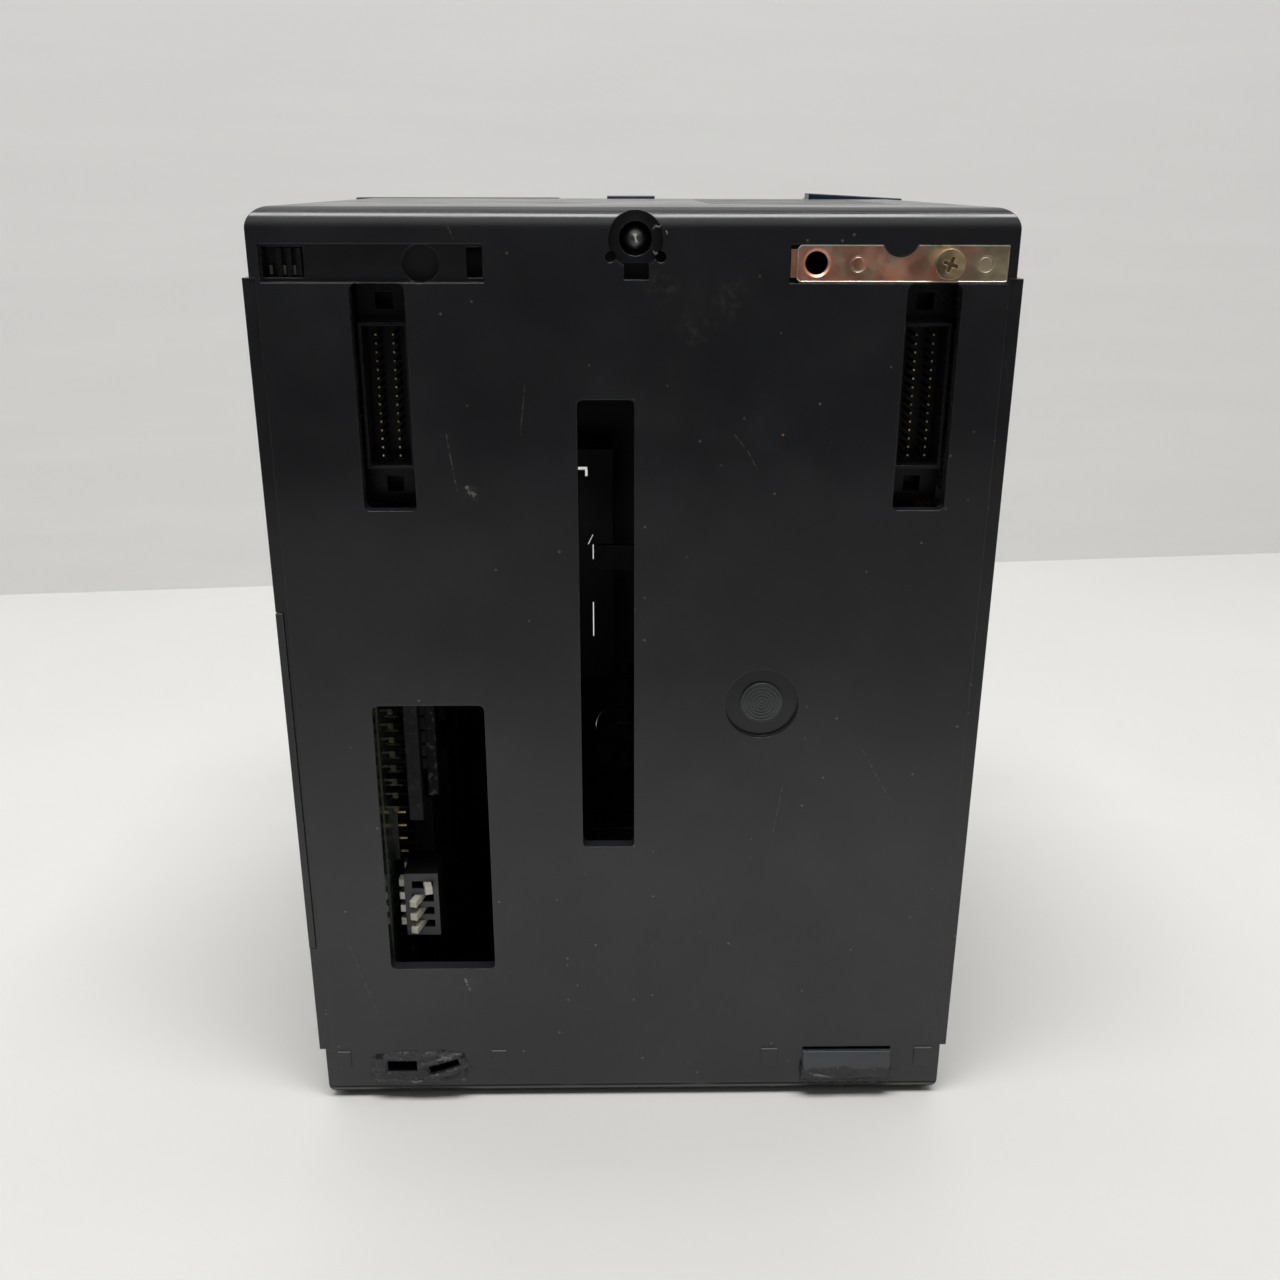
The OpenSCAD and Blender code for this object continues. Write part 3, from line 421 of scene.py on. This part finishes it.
# One finish for each material slot of the record
recipes = {
    "case_plastic": (worn_case, dict(colour=(0.0185, 0.0192, 0.0215))),
    "front_plastic": (moulded, dict(colour=(0.024, 0.025, 0.03), roughness=0.4, grain=0.5,
                                    edge=0.4, dust=0.4)),
    "door_blue": (moulded, dict(colour=(0.01, 0.028, 0.062), roughness=0.34, grain=0.3,
                                edge=0.45, dust=0.3)),
    "plate_steel": (passivated, dict(colours=(PINK, SAND, OLIVE), roughness=0.42)),
    "yellow_zinc": (plated, dict(colour=(0.62, 0.43, 0.23), roughness=0.4, flow=(8, 1, 8),
                                 blush=ZINC_BLUSH)),
    "bright_steel": (plated, dict(colour=(0.6, 0.6, 0.6), roughness=0.26, flow=TURNED)),
    "black_plastic": (moulded, dict(colour=(0.0095, 0.0095, 0.0105), roughness=0.3, grain=0.3,
                                    edge=0.1, dust=0.1)),
    "gold_plating": (plated, dict(colour=(0.7, 0.5, 0.2), roughness=0.3, flow=DRAWN, edge=0.04)),
    "board_green": (circuit_board, dict(colour=(0.016, 0.034, 0.022), copper=(0.3, 0.28, 0.2))),
    "board_tan": (circuit_board, dict(colour=(0.26, 0.17, 0.06), copper=(0.55, 0.52, 0.46))),
    "switch_grey": (moulded, dict(colour=(0.04, 0.042, 0.046), roughness=0.45, grain=0.3,
                                  edge=0.12, dust=0.1)),
    "lever_white": (moulded, dict(colour=(0.52, 0.5, 0.42), roughness=0.42, grain=0.2,
                                  edge=0.2, dust=0.05)),
    "tinned_lead": (plated, dict(colour=(0.6, 0.58, 0.5), roughness=0.42, flow=LEAD, edge=0.08)),
    "network_coat": (coated, dict(colour=(0.017, 0.018, 0.019), roughness=0.6, speckle=0.5,
                                  speck_colour=(0.05, 0.05, 0.048), edge=0.5, size=1500,
                                  shine=0.12)),
    "network_coat_light": (coated, dict(colour=(0.014, 0.015, 0.016), roughness=0.6, speckle=1,
                                        speck_colour=(0.11, 0.105, 0.1), edge=0.5, size=900,
                                        shine=0.12)),
    "chip_epoxy": (coated, dict(colour=(0.018, 0.019, 0.021), roughness=0.55, speckle=0.2,
                                speck_colour=(0.05, 0.05, 0.05), edge=0.2)),
    "can_metal": (plated, dict(colour=(0.66, 0.66, 0.67), roughness=0.2, flow=(12, 1, 12),
                               edge=0.3)),
    "shield_coat": (coated, dict(colour=(0.012, 0.012, 0.013), roughness=0.5, speckle=0.3,
                                 speck_colour=(0.04, 0.04, 0.04), edge=0.2)),
    "black_oxide": (plated, dict(colour=(0.2, 0.2, 0.2), roughness=0.36, flow=TURNED, edge=0.1)),
    "core_steel": (laminated, dict(colour=(0.1, 0.1, 0.11))),
    "coil_tape": (taped, dict(colour=(0.6, 0.44, 0.05))),
    "capacitor_sleeve": (sleeved, dict(colour=(0.018, 0.028, 0.07), band=(0.5, 0.52, 0.55),
                                       band_x=(32.5, 34.5))),
    "bare_aluminium": (plated, dict(colour=(0.58, 0.58, 0.59), roughness=0.35, flow=(30, 30, 1))),
    "fuse_glass": (clear, dict(colour=(0.9, 0.93, 0.93), roughness=0.05, through=0.92)),
    "led_red": (clear, dict(colour=(0.45, 0.03, 0.02), roughness=0.25, through=0.35)),
    "smoked_lens": (clear, dict(colour=(0.05, 0.07, 0.1), roughness=0.08, through=0.7)),
    "nickel": (plated, dict(colour=(0.64, 0.62, 0.57), roughness=0.18, flow=TURNED)),
    "battery_sleeve": (sleeved, dict(colour=(0.6, 0.61, 0.63), band=(0.02, 0.06, 0.2),
                                     band_x=(-27, -24))),
}

# Finishes of single nodes and pieces, which differ a little from their slot's
recipes |= {
    "torn_plastic": (torn, dict(colour=(0.026, 0.027, 0.03))),
    "whisker_plastic": (torn, dict(colour=(0.1, 0.1, 0.096))),
    # Near-white steel for the plate's rim: a painted highlight along its edge
    "rim_steel": (plated, dict(colour=(0.95, 0.92, 0.82), roughness=0.3, flow=(8, 8, 8), edge=0.05)),
    # Pins gilt at the tip, their shafts darkened further in as painted shade
    "gilt_tip": (plated, dict(colour=(0.8, 0.62, 0.28), roughness=0.4, flow=DRAWN, edge=0.04)),
    "tarnished": (plated, dict(colour=(0.2, 0.19, 0.16), roughness=0.5, flow=DRAWN, edge=0.04)),
    # Resistor leads dimmed as painted shade, darker still toward the network
    "fluxed": (plated, dict(colour=(0.1, 0.1, 0.06), roughness=0.5, flow=LEAD, edge=0.08)),
    "soldered": (plated, dict(colour=(0.7, 0.68, 0.6), roughness=0.45, flow=LEAD, edge=0.08)),
    "strip_card": (ruled_card, dict(colour=(0.66, 0.65, 0.6), line=(0.2, 0.24, 0.3))),
    "disc_plastic": (moulded, dict(colour=(0.036, 0.041, 0.044), roughness=0.3, grain=0.2,
                                   edge=0.1, dust=0.4)),
    "band_plastic": (moulded, dict(colour=(0.052, 0.055, 0.062), roughness=0.22, grain=0.1,
                                   edge=0.08, dust=0.2)),
    # Bright steel for the painted glint at the fixing screw's tip
    "mark_steel": (plated, dict(colour=(0.85, 0.83, 0.78), roughness=0.5, flow=TURNED)),
}
finishes = {name: make(name, **dials) for name, (make, dials) in recipes.items()}

# Painted light along an axis: the board and the switch darker deeper in the case, the pins' shafts dark
# behind their gilt tips and the leads dark along part of their length, all painted shade, and a painted
# highlight along the hook band's top edge
for name, *shading in [
        ("board_green", "Y", 5.5, 5.2, (0.075, 0.085, 0.06)),
        ("switch_grey", "Y", 5.6, 6, (0.003, 0.003, 0.003)),
        ("gilt_tip", "Y", 4.1, 4.5, (0.012, 0.01, 0.006)),
        ("fluxed", "X", -39.9, -39.3, (0.01, 0.01, 0.008)),
        ("soldered", "X", -40.3, -40.6, (0.01, 0.01, 0.008)),
        ("band_plastic", "Z", 9.32, 9.42, (0.22, 0.225, 0.23))]:
    shade_along(finishes[name], *shading)

own_finish = {"bus_pins_left": "gilt_tip", "bus_pins_right": "gilt_tip",
              "ground_contacts": "tarnished", "resistor_leads": "fluxed",
              "setting_switch_leads": "soldered"}
for part in frame["record"]["subparts"]:
    mesh = nodes[part["node"]].data
    mesh.materials.clear()
    mesh.materials.append(finishes[own_finish.get(part["node"], part["material_slot"])].material)


# ---- building pieces ----

def piece(name, build, finish, body="module"):
    """A closed mesh made by build, which rides on a body and takes the finish of that name."""
    mesh = bpy.data.meshes.new(name)
    built = bmesh.new()
    build(built)
    bmesh.ops.recalc_face_normals(built, faces=built.faces)
    built.to_mesh(mesh)
    built.free()
    made = bpy.data.objects.new(name, mesh)
    bpy.context.scene.collection.objects.link(made)
    mesh.materials.append(finishes[finish].material)
    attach(made, body)
    return made


def smooth(made, angle=40):
    """Shades a piece smooth, but keeps the edges sharper than angle."""
    for polygon in made.data.polygons:
        polygon.use_smooth = True
    edges = bmesh.new()
    edges.from_mesh(made.data)
    for edge in edges.edges:
        edge.smooth = len(edge.link_faces) == 2 and edge.calc_face_angle(0) < math.radians(angle)
    edges.to_mesh(made.data)
    edges.free()


def join_rings(mesh, rings, closed=False):
    """Faces between each ring of vertices and the next, and back to the first if closed."""
    following = rings[1:] + rings[:1] if closed else rings[1:]
    for here, there in zip(rings, following):
        for k in range(len(here)):
            n = (k + 1) % len(here)
            mesh.faces.new([here[k], here[n], there[n], there[k]])


def close_ends(mesh, ends):
    """A face over the first and the last of some rings of vertices."""
    mesh.faces.new(ends[0])
    mesh.faces.new(ends[-1])


def sheet_of(points, depths, back):
    """Builds a closed relief: a grid of front points, each pushed out by its depth, over a flat back.

    points[i][j] is (x, z) in mm and depths[i][j] the mm it stands proud of the
    rear face, or None where nothing is left."""
    def build(mesh):
        front = {}
        rear = {}
        for i, row in enumerate(points):
            for j, (x, z) in enumerate(row):
                if depths[i][j] is not None:
                    front[i, j] = mesh.verts.new(spot(x, -depths[i][j], z))
                    rear[i, j] = mesh.verts.new(spot(x, back, z))
        for i in range(len(points) - 1):
            for j in range(len(points[0]) - 1):
                loop = [(i, j), (i + 1, j), (i + 1, j + 1), (i, j + 1)]
                if all(key in front for key in loop):
                    mesh.faces.new([front[key] for key in loop])
                    mesh.faces.new([rear[key] for key in reversed(loop)])
        for edge in [e for e in mesh.edges if len(e.link_faces) == 1]:
            keys = [next((k for k, v in front.items() if v is vertex), None) for vertex in edge.verts]
            if None not in keys:
                mesh.faces.new([front[keys[0]], front[keys[1]], rear[keys[1]], rear[keys[0]]])
        bmesh.ops.delete(mesh, geom=[v for v in mesh.verts if not v.link_faces], context="VERTS")
    return build


def turned(x, z, profile, steps=96):
    """Builds a ring by turning a closed (radius, depth) profile about an axis along Y."""
    def build(mesh):
        rings = []
        for i in range(steps):
            angle = 2 * math.pi * i / steps
            rings.append([mesh.verts.new(spot(x + r * math.cos(angle), y, z + r * math.sin(angle)))
                          for r, y in profile])
        join_rings(mesh, rings, closed=True)
    return build


def swept(path, radius, sides=8):
    """Builds a round rod along a path of points in mm.

    Its radius is a number, or a function of the share of the path already passed."""
    def build(mesh):
        points = [spot(*p) for p in path]
        rings = []
        for i, point in enumerate(points):
            ahead = points[min(i + 1, len(points) - 1)] - points[max(i - 1, 0)]
            turn = ahead.to_track_quat("Z", "Y").to_matrix()
            share = i / (len(points) - 1)
            r = (radius(share) if callable(radius) else radius) * MM
            rings.append([mesh.verts.new(point + turn @ Vector((r * math.cos(a), r * math.sin(a), 0)))
                          for a in (2 * math.pi * k / sides for k in range(sides))])
        join_rings(mesh, rings)
        close_ends(mesh, rings)
    return build


def outline_y(outline, y):
    """Builds a prism from an outline of (x, z) points, between two depths."""
    def build(mesh):
        ends = [[mesh.verts.new(spot(x, depth, z)) for x, z in outline] for depth in y]
        close_ends(mesh, ends)
        join_rings(mesh, ends)
    return build


def rounded_bar(x, profile, radius):
    """Builds a bar along X from a (depth, z) outline, every edge rounded."""
    def build(mesh):
        ends = [[mesh.verts.new(spot(side, y, z)) for y, z in profile] for side in x]
        close_ends(mesh, ends)
        join_rings(mesh, ends)
        bmesh.ops.bevel(mesh, geom=mesh.edges[:], offset=radius * MM, segments=3,
                        affect="EDGES", profile=0.5)
    return build


def curved(path, steps):
    """More points along a smooth curve through the given ones."""
    points = [Vector(p) for p in path]
    ends = [2 * points[0] - points[1], *points, 2 * points[-1] - points[-2]]
    made = []
    for a, b, c, d in zip(ends, ends[1:], ends[2:], ends[3:]):
        for i in range(steps):
            t = i / steps
            made.append(0.5 * ((2 * b) + (c - a) * t + (2 * a - 5 * b + 4 * c - d) * t * t
                               + (3 * b - a - 3 * c + d) * t ** 3))
    return [*made, points[-1]]


def grid(x, z, step):
    """Points (x, z) over a rectangle, about step mm apart."""
    columns = max(2, round((x[1] - x[0]) / step))
    rows = max(2, round((z[1] - z[0]) / step))
    return [[(x[0] + (x[1] - x[0]) * i / columns, z[0] + (z[1] - z[0]) * j / rows)
             for j in range(rows + 1)] for i in range(columns + 1)]


def rough(x, z, scale, seed):
    """Smooth noise around 0 over the rear face, with finer detail on top."""
    at = Vector((x * scale, z * scale, seed))
    return noise.noise(at) + 0.5 * noise.noise(at * 2.3) + 0.25 * noise.noise(at * 5.1)


def profile_at(z, corners):
    """Depth of an outline given as (depth, z) corners, at height z."""
    for (d0, z0), (d1, z1) in zip(corners, corners[1:]):
        if z0 <= z <= z1:
            return d0 + (d1 - d0) * (z - z0) / (z1 - z0)
    return 0


def torn_patch(name, x, z, depth, proudest):
    """A patch of torn plastic over a rectangle, which stands depth(x, z) proud of the rear face."""
    cell, behind = 0.2, 0.3
    points = grid(x, z, cell)
    depths = [[depth(*point) for point in row] for row in points]
    depths = [[d if d is None else min(proudest, d) for d in row] for row in depths]
    smooth(piece(name, sheet_of(points, depths, behind), "torn_plastic"), 60)


def screw_axis():
    """The fixing screw's axis as x and z, and the depth of its tip, in mm."""
    low, high = span("fixing_screw")
    return (low.x + high.x) / 2, (low.z + high.z) / 2, low.y


# ---- the pieces ----

def torn_left_hook():
    """The patch of plastic left where the left bottom hook broke off, round its two slots."""
    middle, half = (-37.5, 6.3), (8.9, 3.7)
    stump = [(0, 3.2), (0.5, 4.3), (0.72, 5.8), (0.52, 8.6), (0, 9.7)]
    slanted_at, slanted_half, slant = (-33.3, 7.1), (2.8, 0.75), math.radians(17)
    pit_at = (-30.1, 6.2)

    def depth(x, z):
        from_x, from_z = x - slanted_at[0], z - slanted_at[1]
        u = from_x * math.cos(slant) + from_z * math.sin(slant)
        v = -from_x * math.sin(slant) + from_z * math.cos(slant)
        in_straight_slot = -43.3 < x < -38 and 6 < z < 8.3
        if in_straight_slot or (abs(u) < slanted_half[0] and abs(v) < slanted_half[1]):
            return None
        dx, dz = abs(x - middle[0]) / half[0], abs(z - middle[1]) / half[1]
        out = (dx ** 3 + dz ** 3) ** (1 / 3) + 0.1 * rough(x, z, 0.6, 3)
        if out > 1:
            return None
        rise = min(1, (1 - out) * 5)
        ridge = 0.35 * max(0, 1 - abs(z - 4.7 - 0.3 * math.sin(x)) / 0.8)
        lip = 0.45 * max(0, 1 - abs(abs(v) - 1.4) / 0.5) if abs(u) < 4 else 0
        pit = 0.5 * math.exp(-((x - pit_at[0]) / 0.7) ** 2 - ((z - pit_at[1]) / 0.8) ** 2)
        crumbs = 0.4 * abs(rough(x, z, 1.2, 8))
        return 0.05 + rise * (profile_at(z, stump) + 0.1 + ridge + lip - pit + crumbs)

    torn_patch("torn_hook_left", (-46.8, -28.2), (2.6, 10), depth, 1.35)


def torn_right_hook():
    """The broken underside of the right hook: a ragged edge under the smooth band."""
    stump = [(0.1, 2), (0.2, 4), (0.92, 4.6), (1.22, 6.2), (1.0, 6.8), (0.8, 7.6)]

    def depth(x, z):
        edge = 6.5 + 0.5 * rough(x, 0, 0.55, 21) + 0.5 * math.exp(-((x - 36.8) / 1.6) ** 2)
        low = 2.7 + 0.4 * rough(x, 0, 0.9, 5)
        if z > edge or z < low:
            return None
        share = (z - low) / (edge - low)
        shelf = 0.3 * max(0, 1 - abs(z - 5 - 0.5 * math.sin(0.8 * x)) / 0.7)
        crumbs = 0.3 * abs(rough(x, z, 1.3, 2))
        return profile_at(z, stump) + 0.1 + 0.1 * share + shelf + crumbs

    torn_patch("torn_hook_right", (29.5, 45.4), (1.9, 7.6), depth, 1.45)


def hook_band():
    """The smooth sliding face that is left of the right hook."""
    profile = [(-1.32, 5.6), (-1.32, 6), (-0.42, 9.45), (-0.3, 9.58), (0.2, 9.58), (0.2, 5.6)]
    smooth(piece("hook_band", rounded_bar((29.8, 45.1), profile, 0.14), "band_plastic"))


def screw_tip_glint():
    """A bright hourglass patch at the point of the fixing screw: a painted glint on its dark tip."""
    x, z, tip = screw_axis()
    proud, sunk = 0.12, 0.4
    outline = [(-0.42, 0.5), (-0.1, 0.62), (0.3, 0.5), (0.08, 0.05), (0.4, -0.45), (0.28, -0.66),
               (-0.05, -0.5), (-0.1, 0)]
    glint_outline = [(x + dx, z + dz) for dx, dz in outline]
    piece("fixing_screw_glint", outline_y(glint_outline, (tip - proud, tip + sunk)), "mark_steel",
          "fixing_screw_body")


def slivers():
    """Curled whiskers of plastic left by the breaks and by the drilled hole."""
    torn_off, drilled = 0.24, 0.15
    whiskers = {
        "sliver_right": (torn_off, [(30.2, -0.7, 5.2), (31.6, -1.3, 5.3), (33.2, -1.5, 5.1),
                                    (34.6, -1.3, 4.7), (35.6, -1, 4.2)]),
        "sliver_left": (torn_off, [(-34.8, -0.6, 8.3), (-34.1, -1.1, 8.8), (-33.4, -1.2, 9),
                                   (-33, -0.7, 9.2)]),
        "sliver_lower": (torn_off, [(-39.6, -0.7, 4.4), (-38.6, -1.1, 4.2), (-37.6, -1.2, 4.4),
                                    (-36.9, -0.9, 4.3)]),
        "burr_upper": (drilled, [(2.5, -0.1, 147.1), (2.9, -0.5, 147.5), (3.4, -0.6, 147.4),
                                 (3.7, -0.2, 147.7)]),
        "burr_lower": (drilled, [(2.6, 0.4, 144.2), (2.9, 0, 143.8), (3.1, -0.2, 144),
                                 (3.3, 0, 143.7)]),
        "burr_side": (drilled, [(4.3, 0.1, 146.9), (4.5, -0.3, 146.6), (4.4, -0.4, 146.3)]),
    }
    for name, (thick, path) in whiskers.items():
        def radius(share, thick=thick):
            return thick * (1.05 - 0.75 * abs(2 * share - 0.8))
        smooth(piece(name, swept(curved(path, 6), radius), "whisker_plastic"))


def gate_disc():
    """The moulding gate's disc in its round recess, with fine turned rings."""
    x, z, radius, behind = 20.2, 75.6, 3.3, 0.9
    rings, ring_apart, ring_deep = 44, 0.55, 0.035
    profile = [(0.02, behind), (0.02, 0.1)]
    for i in range(1, rings + 1):
        r = radius * i / rings
        crown = 0.12 + 0.3 * (r / radius) ** 2
        profile.append((r, crown - ring_deep * math.cos(2 * math.pi * r / ring_apart)))
    profile += [(radius + 0.12, 0.5), (radius + 0.12, behind)]
    smooth(piece("gate_disc", turned(x, z, profile), "disc_plastic"), 50)


def plate_rim():
    """The burred edge round the ground plate, open at its notch, its near-white colour a painted
    highlight.
    """
    low, high = span("ground_plate")
    left, right, bottom, top = 22.9, high.x, low.z, high.z
    notch_left, notch_right, point_gap, thick = 34.8, 39.8, 0.5, 0.09
    path = [(notch_right, top), (right - 0.1, top), (right, top - 0.1), (right, bottom + 0.1),
            (right - 0.1, bottom), (left + 0.4, bottom), (left, bottom + 0.4),
            (left, top - 0.45), (left + 0.45, top), (notch_left, top)]
    dense = []
    for (x0, z0), (x1, z1) in zip(path, path[1:]):
        steps = max(1, round(math.hypot(x1 - x0, z1 - z0) / point_gap))
        dense += [(x0 + (x1 - x0) * i / steps, z0 + (z1 - z0) * i / steps) for i in range(steps)]
    dense.append(path[-1])
    rim = [(x, 0.14 - 0.02 * rough(x, z, 1.7, 4), z) for x, z in dense]
    smooth(piece("ground_plate_rim", swept(rim, thick), "rim_steel"), 60)


def screw_thread():
    """The helical thread of the captive fixing screw."""
    x, z, tip = screw_axis()
    core, crest, half_width, root = 1.9, 2.12, 0.3, 0.3
    pitch, length, plain_end, run_in = 0.7, 16, 2.2, 0.7
    turns, steps = length / pitch, 28

    def build(mesh):
        rings = []
        for i in range(int(turns * steps) + 1):
            angle = 2 * math.pi * i / steps
            y = tip + plain_end + pitch * i / steps
            top = core + (crest - core) * min(1, i / (run_in * steps))
            ring = [(core, y - half_width), (top, y), (core, y + half_width), (core - root, y)]
            rings.append([mesh.verts.new(spot(x + r * math.cos(angle), d, z + r * math.sin(angle)))
                          for r, d in ring])
        join_rings(mesh, rings)
        close_ends(mesh, rings)
    smooth(piece("fixing_screw_thread", build, "black_oxide", "fixing_screw_body"), 35)


def write_on_strips():
    """The blank card strips held in the seats on the two doors' fronts, with their corners cut."""
    seat_depth, seat_half, seat_z, gap, notch, thick = 0.4, 13.5, (30, 118), 0.35, 1.6, 0.28
    bottom, top = seat_z[0] + gap, seat_z[1] - gap
    for door in ("port_door", "terminal_door"):
        low, high = span(door)
        middle, half = (low.x + high.x) / 2, seat_half - gap
        left, right = middle - half, middle + half
        outline = [(left, bottom + notch), (left + notch, bottom), (right - notch, bottom),
                   (right, bottom + notch), (right, top - notch), (right - notch, top),
                   (left + notch, top), (left, top - notch)]
        face = high.y - seat_depth
        piece(door + "_strip", outline_y(outline, (face, face + thick)), "strip_card",
              door + "_body")


hook_band()
screw_tip_glint()
torn_left_hook()
torn_right_hook()
slivers()
gate_disc()
plate_rim()
screw_thread()
write_on_strips()


# ---- setting, light and camera ----

ROOM = 3.0
TABLE_EDGE_Y = -0.5
FLOOR_COLOUR, BACKDROP_COLOUR, BACKDROP_GLOW = (0.8, 0.79, 0.765), (0.74, 0.735, 0.725), 0.14
WALL_LEFT, WALL_RIGHT = Vector((-0.2455, 0.2396, 0)), Vector((0.2875, 0.2952, 0))
CARD_END_Y, CARD_Z = -0.14, 0.002
WORLD_COLOUR, WORLD_STRENGTH = (0.62, 0.62, 0.61, 1), 0.16
PITCH, YAW, ROLL = (math.radians(a) for a in (19.988, 0.918, -0.141))
CAMERA_AT = (-0.002061, -0.236139, 0.153479)
LENS, SENSOR, CLIP_START = 35.558, 36, 0.005


def plane(name, corners, material):
    """A flat four-cornered part of the setting."""
    mesh = bpy.data.meshes.new(name)
    mesh.from_pydata([Vector(c) for c in corners], [], [(0, 1, 2, 3)])
    mesh.materials.append(material)
    made = bpy.data.objects.new(name, mesh)
    bpy.context.scene.collection.objects.link(made)
    return made


def level(y0, y1, z):
    """Corners of a level strip as wide as the room."""
    return [(-ROOM, y0, z), (ROOM, y0, z), (ROOM, y1, z), (-ROOM, y1, z)]


def upright(left, right):
    """Corners of an upright sheet on the floor between two points."""
    up = Vector((0, 0, ROOM))
    return [left, right, right + up, left + up]


def paint(name, colour, glow=0.0):
    """Matt paint with faint brush streaks, for the floor and the backdrop."""
    f = Finish(name, colour, 0.6, Emission_Color=colour, Emission_Strength=glow)
    streaks = f.noise(9, 6, f.stretch((1, 1, 9)))
    f.set("Base Color", f.mix(f.step(streaks, 0.35, 0.75), tint(colour, 0.97), colour))
    f.set("Normal", f.bump(streaks, 0.12, 0.8))
    return f.material


def reflector(name, corners, colour, letter, start, end, dark, bright):
    """A card that only reflections show, its glow rising from dark to bright along an axis."""
    f = Finish(name, colour, 1.0, Emission_Strength=1.0)
    f.set("Emission Color", f.ramp(f.step(f.axis(letter), start, end), (0, dark), (1, bright)))
    card = plane(name, corners, f.material)
    card.visible_camera = False
    card.visible_diffuse = False
    card.visible_transmission = False
    card.visible_shadow = False


def area_light(name, place, target, size, power):
    """A rectangular light of that (width, height), turned toward target."""
    data = bpy.data.lights.new(name, "AREA")
    data.shape = "RECTANGLE"
    data.size, data.size_y = size
    data.energy = power
    made = bpy.data.objects.new(name, data)
    made.location = place
    made.rotation_euler = (Vector(target) - Vector(place)).to_track_quat("-Z", "Y").to_euler()
    bpy.context.scene.collection.objects.link(made)


along_wall = (WALL_RIGHT - WALL_LEFT).normalized() * ROOM
wall_middle = (WALL_LEFT + WALL_RIGHT) / 2
plane("floor", level(-ROOM, ROOM, 0), paint("floor_paint", FLOOR_COLOUR))
plane("backdrop", upright(wall_middle - along_wall, wall_middle + along_wall),
      paint("backdrop_paint", BACKDROP_COLOUR, BACKDROP_GLOW))
reflector("dark_room", upright(Vector((-ROOM, TABLE_EDGE_Y, 0)), Vector((ROOM, TABLE_EDGE_Y, 0))),
          (0.004, 0.004, 0.004), "Z", 0.22, 0.6, (0, 0, 0), (0.9, 0.9, 0.88))
reflector("shade_card", level(TABLE_EDGE_Y, CARD_END_Y, CARD_Z),
          (0, 0, 0), "Y", -0.28, -0.15, (0.25, 0.25, 0.25), (0.7, 0.7, 0.69))

area_light("ceiling", (0.0, -0.25, 1.1), (0.0, -0.1, 0), (0.9, 0.3), 10)
area_light("wall_light", (0.0, 0.1, 1.1), (0.0, 0.3, 0.35), (1.6, 0.1), 1.2)

world = bpy.data.worlds.new("room")
bpy.context.scene.world = world
world.use_nodes = True
background = world.node_tree.nodes["Background"]
background.inputs["Color"].default_value = WORLD_COLOUR
background.inputs["Strength"].default_value = WORLD_STRENGTH

ahead = Vector((math.sin(YAW) * math.cos(PITCH), math.cos(YAW) * math.cos(PITCH), -math.sin(PITCH)))
across = Vector((math.cos(YAW), -math.sin(YAW), 0))
down = ahead.cross(across)
right = across * math.cos(ROLL) + down * math.sin(ROLL)
below = down * math.cos(ROLL) - across * math.sin(ROLL)
camera_data = bpy.data.cameras.new("camera")
camera_data.lens = LENS
camera_data.sensor_width = SENSOR
camera_data.clip_start = CLIP_START
camera = bpy.data.objects.new("camera", camera_data)
turn = Matrix((right, -below, -ahead)).transposed().to_4x4()
camera.matrix_world = Matrix.Translation(CAMERA_AT) @ turn
bpy.context.scene.collection.objects.link(camera)
bpy.context.scene.camera = camera
bpy.context.scene.view_settings.view_transform = "Standard"
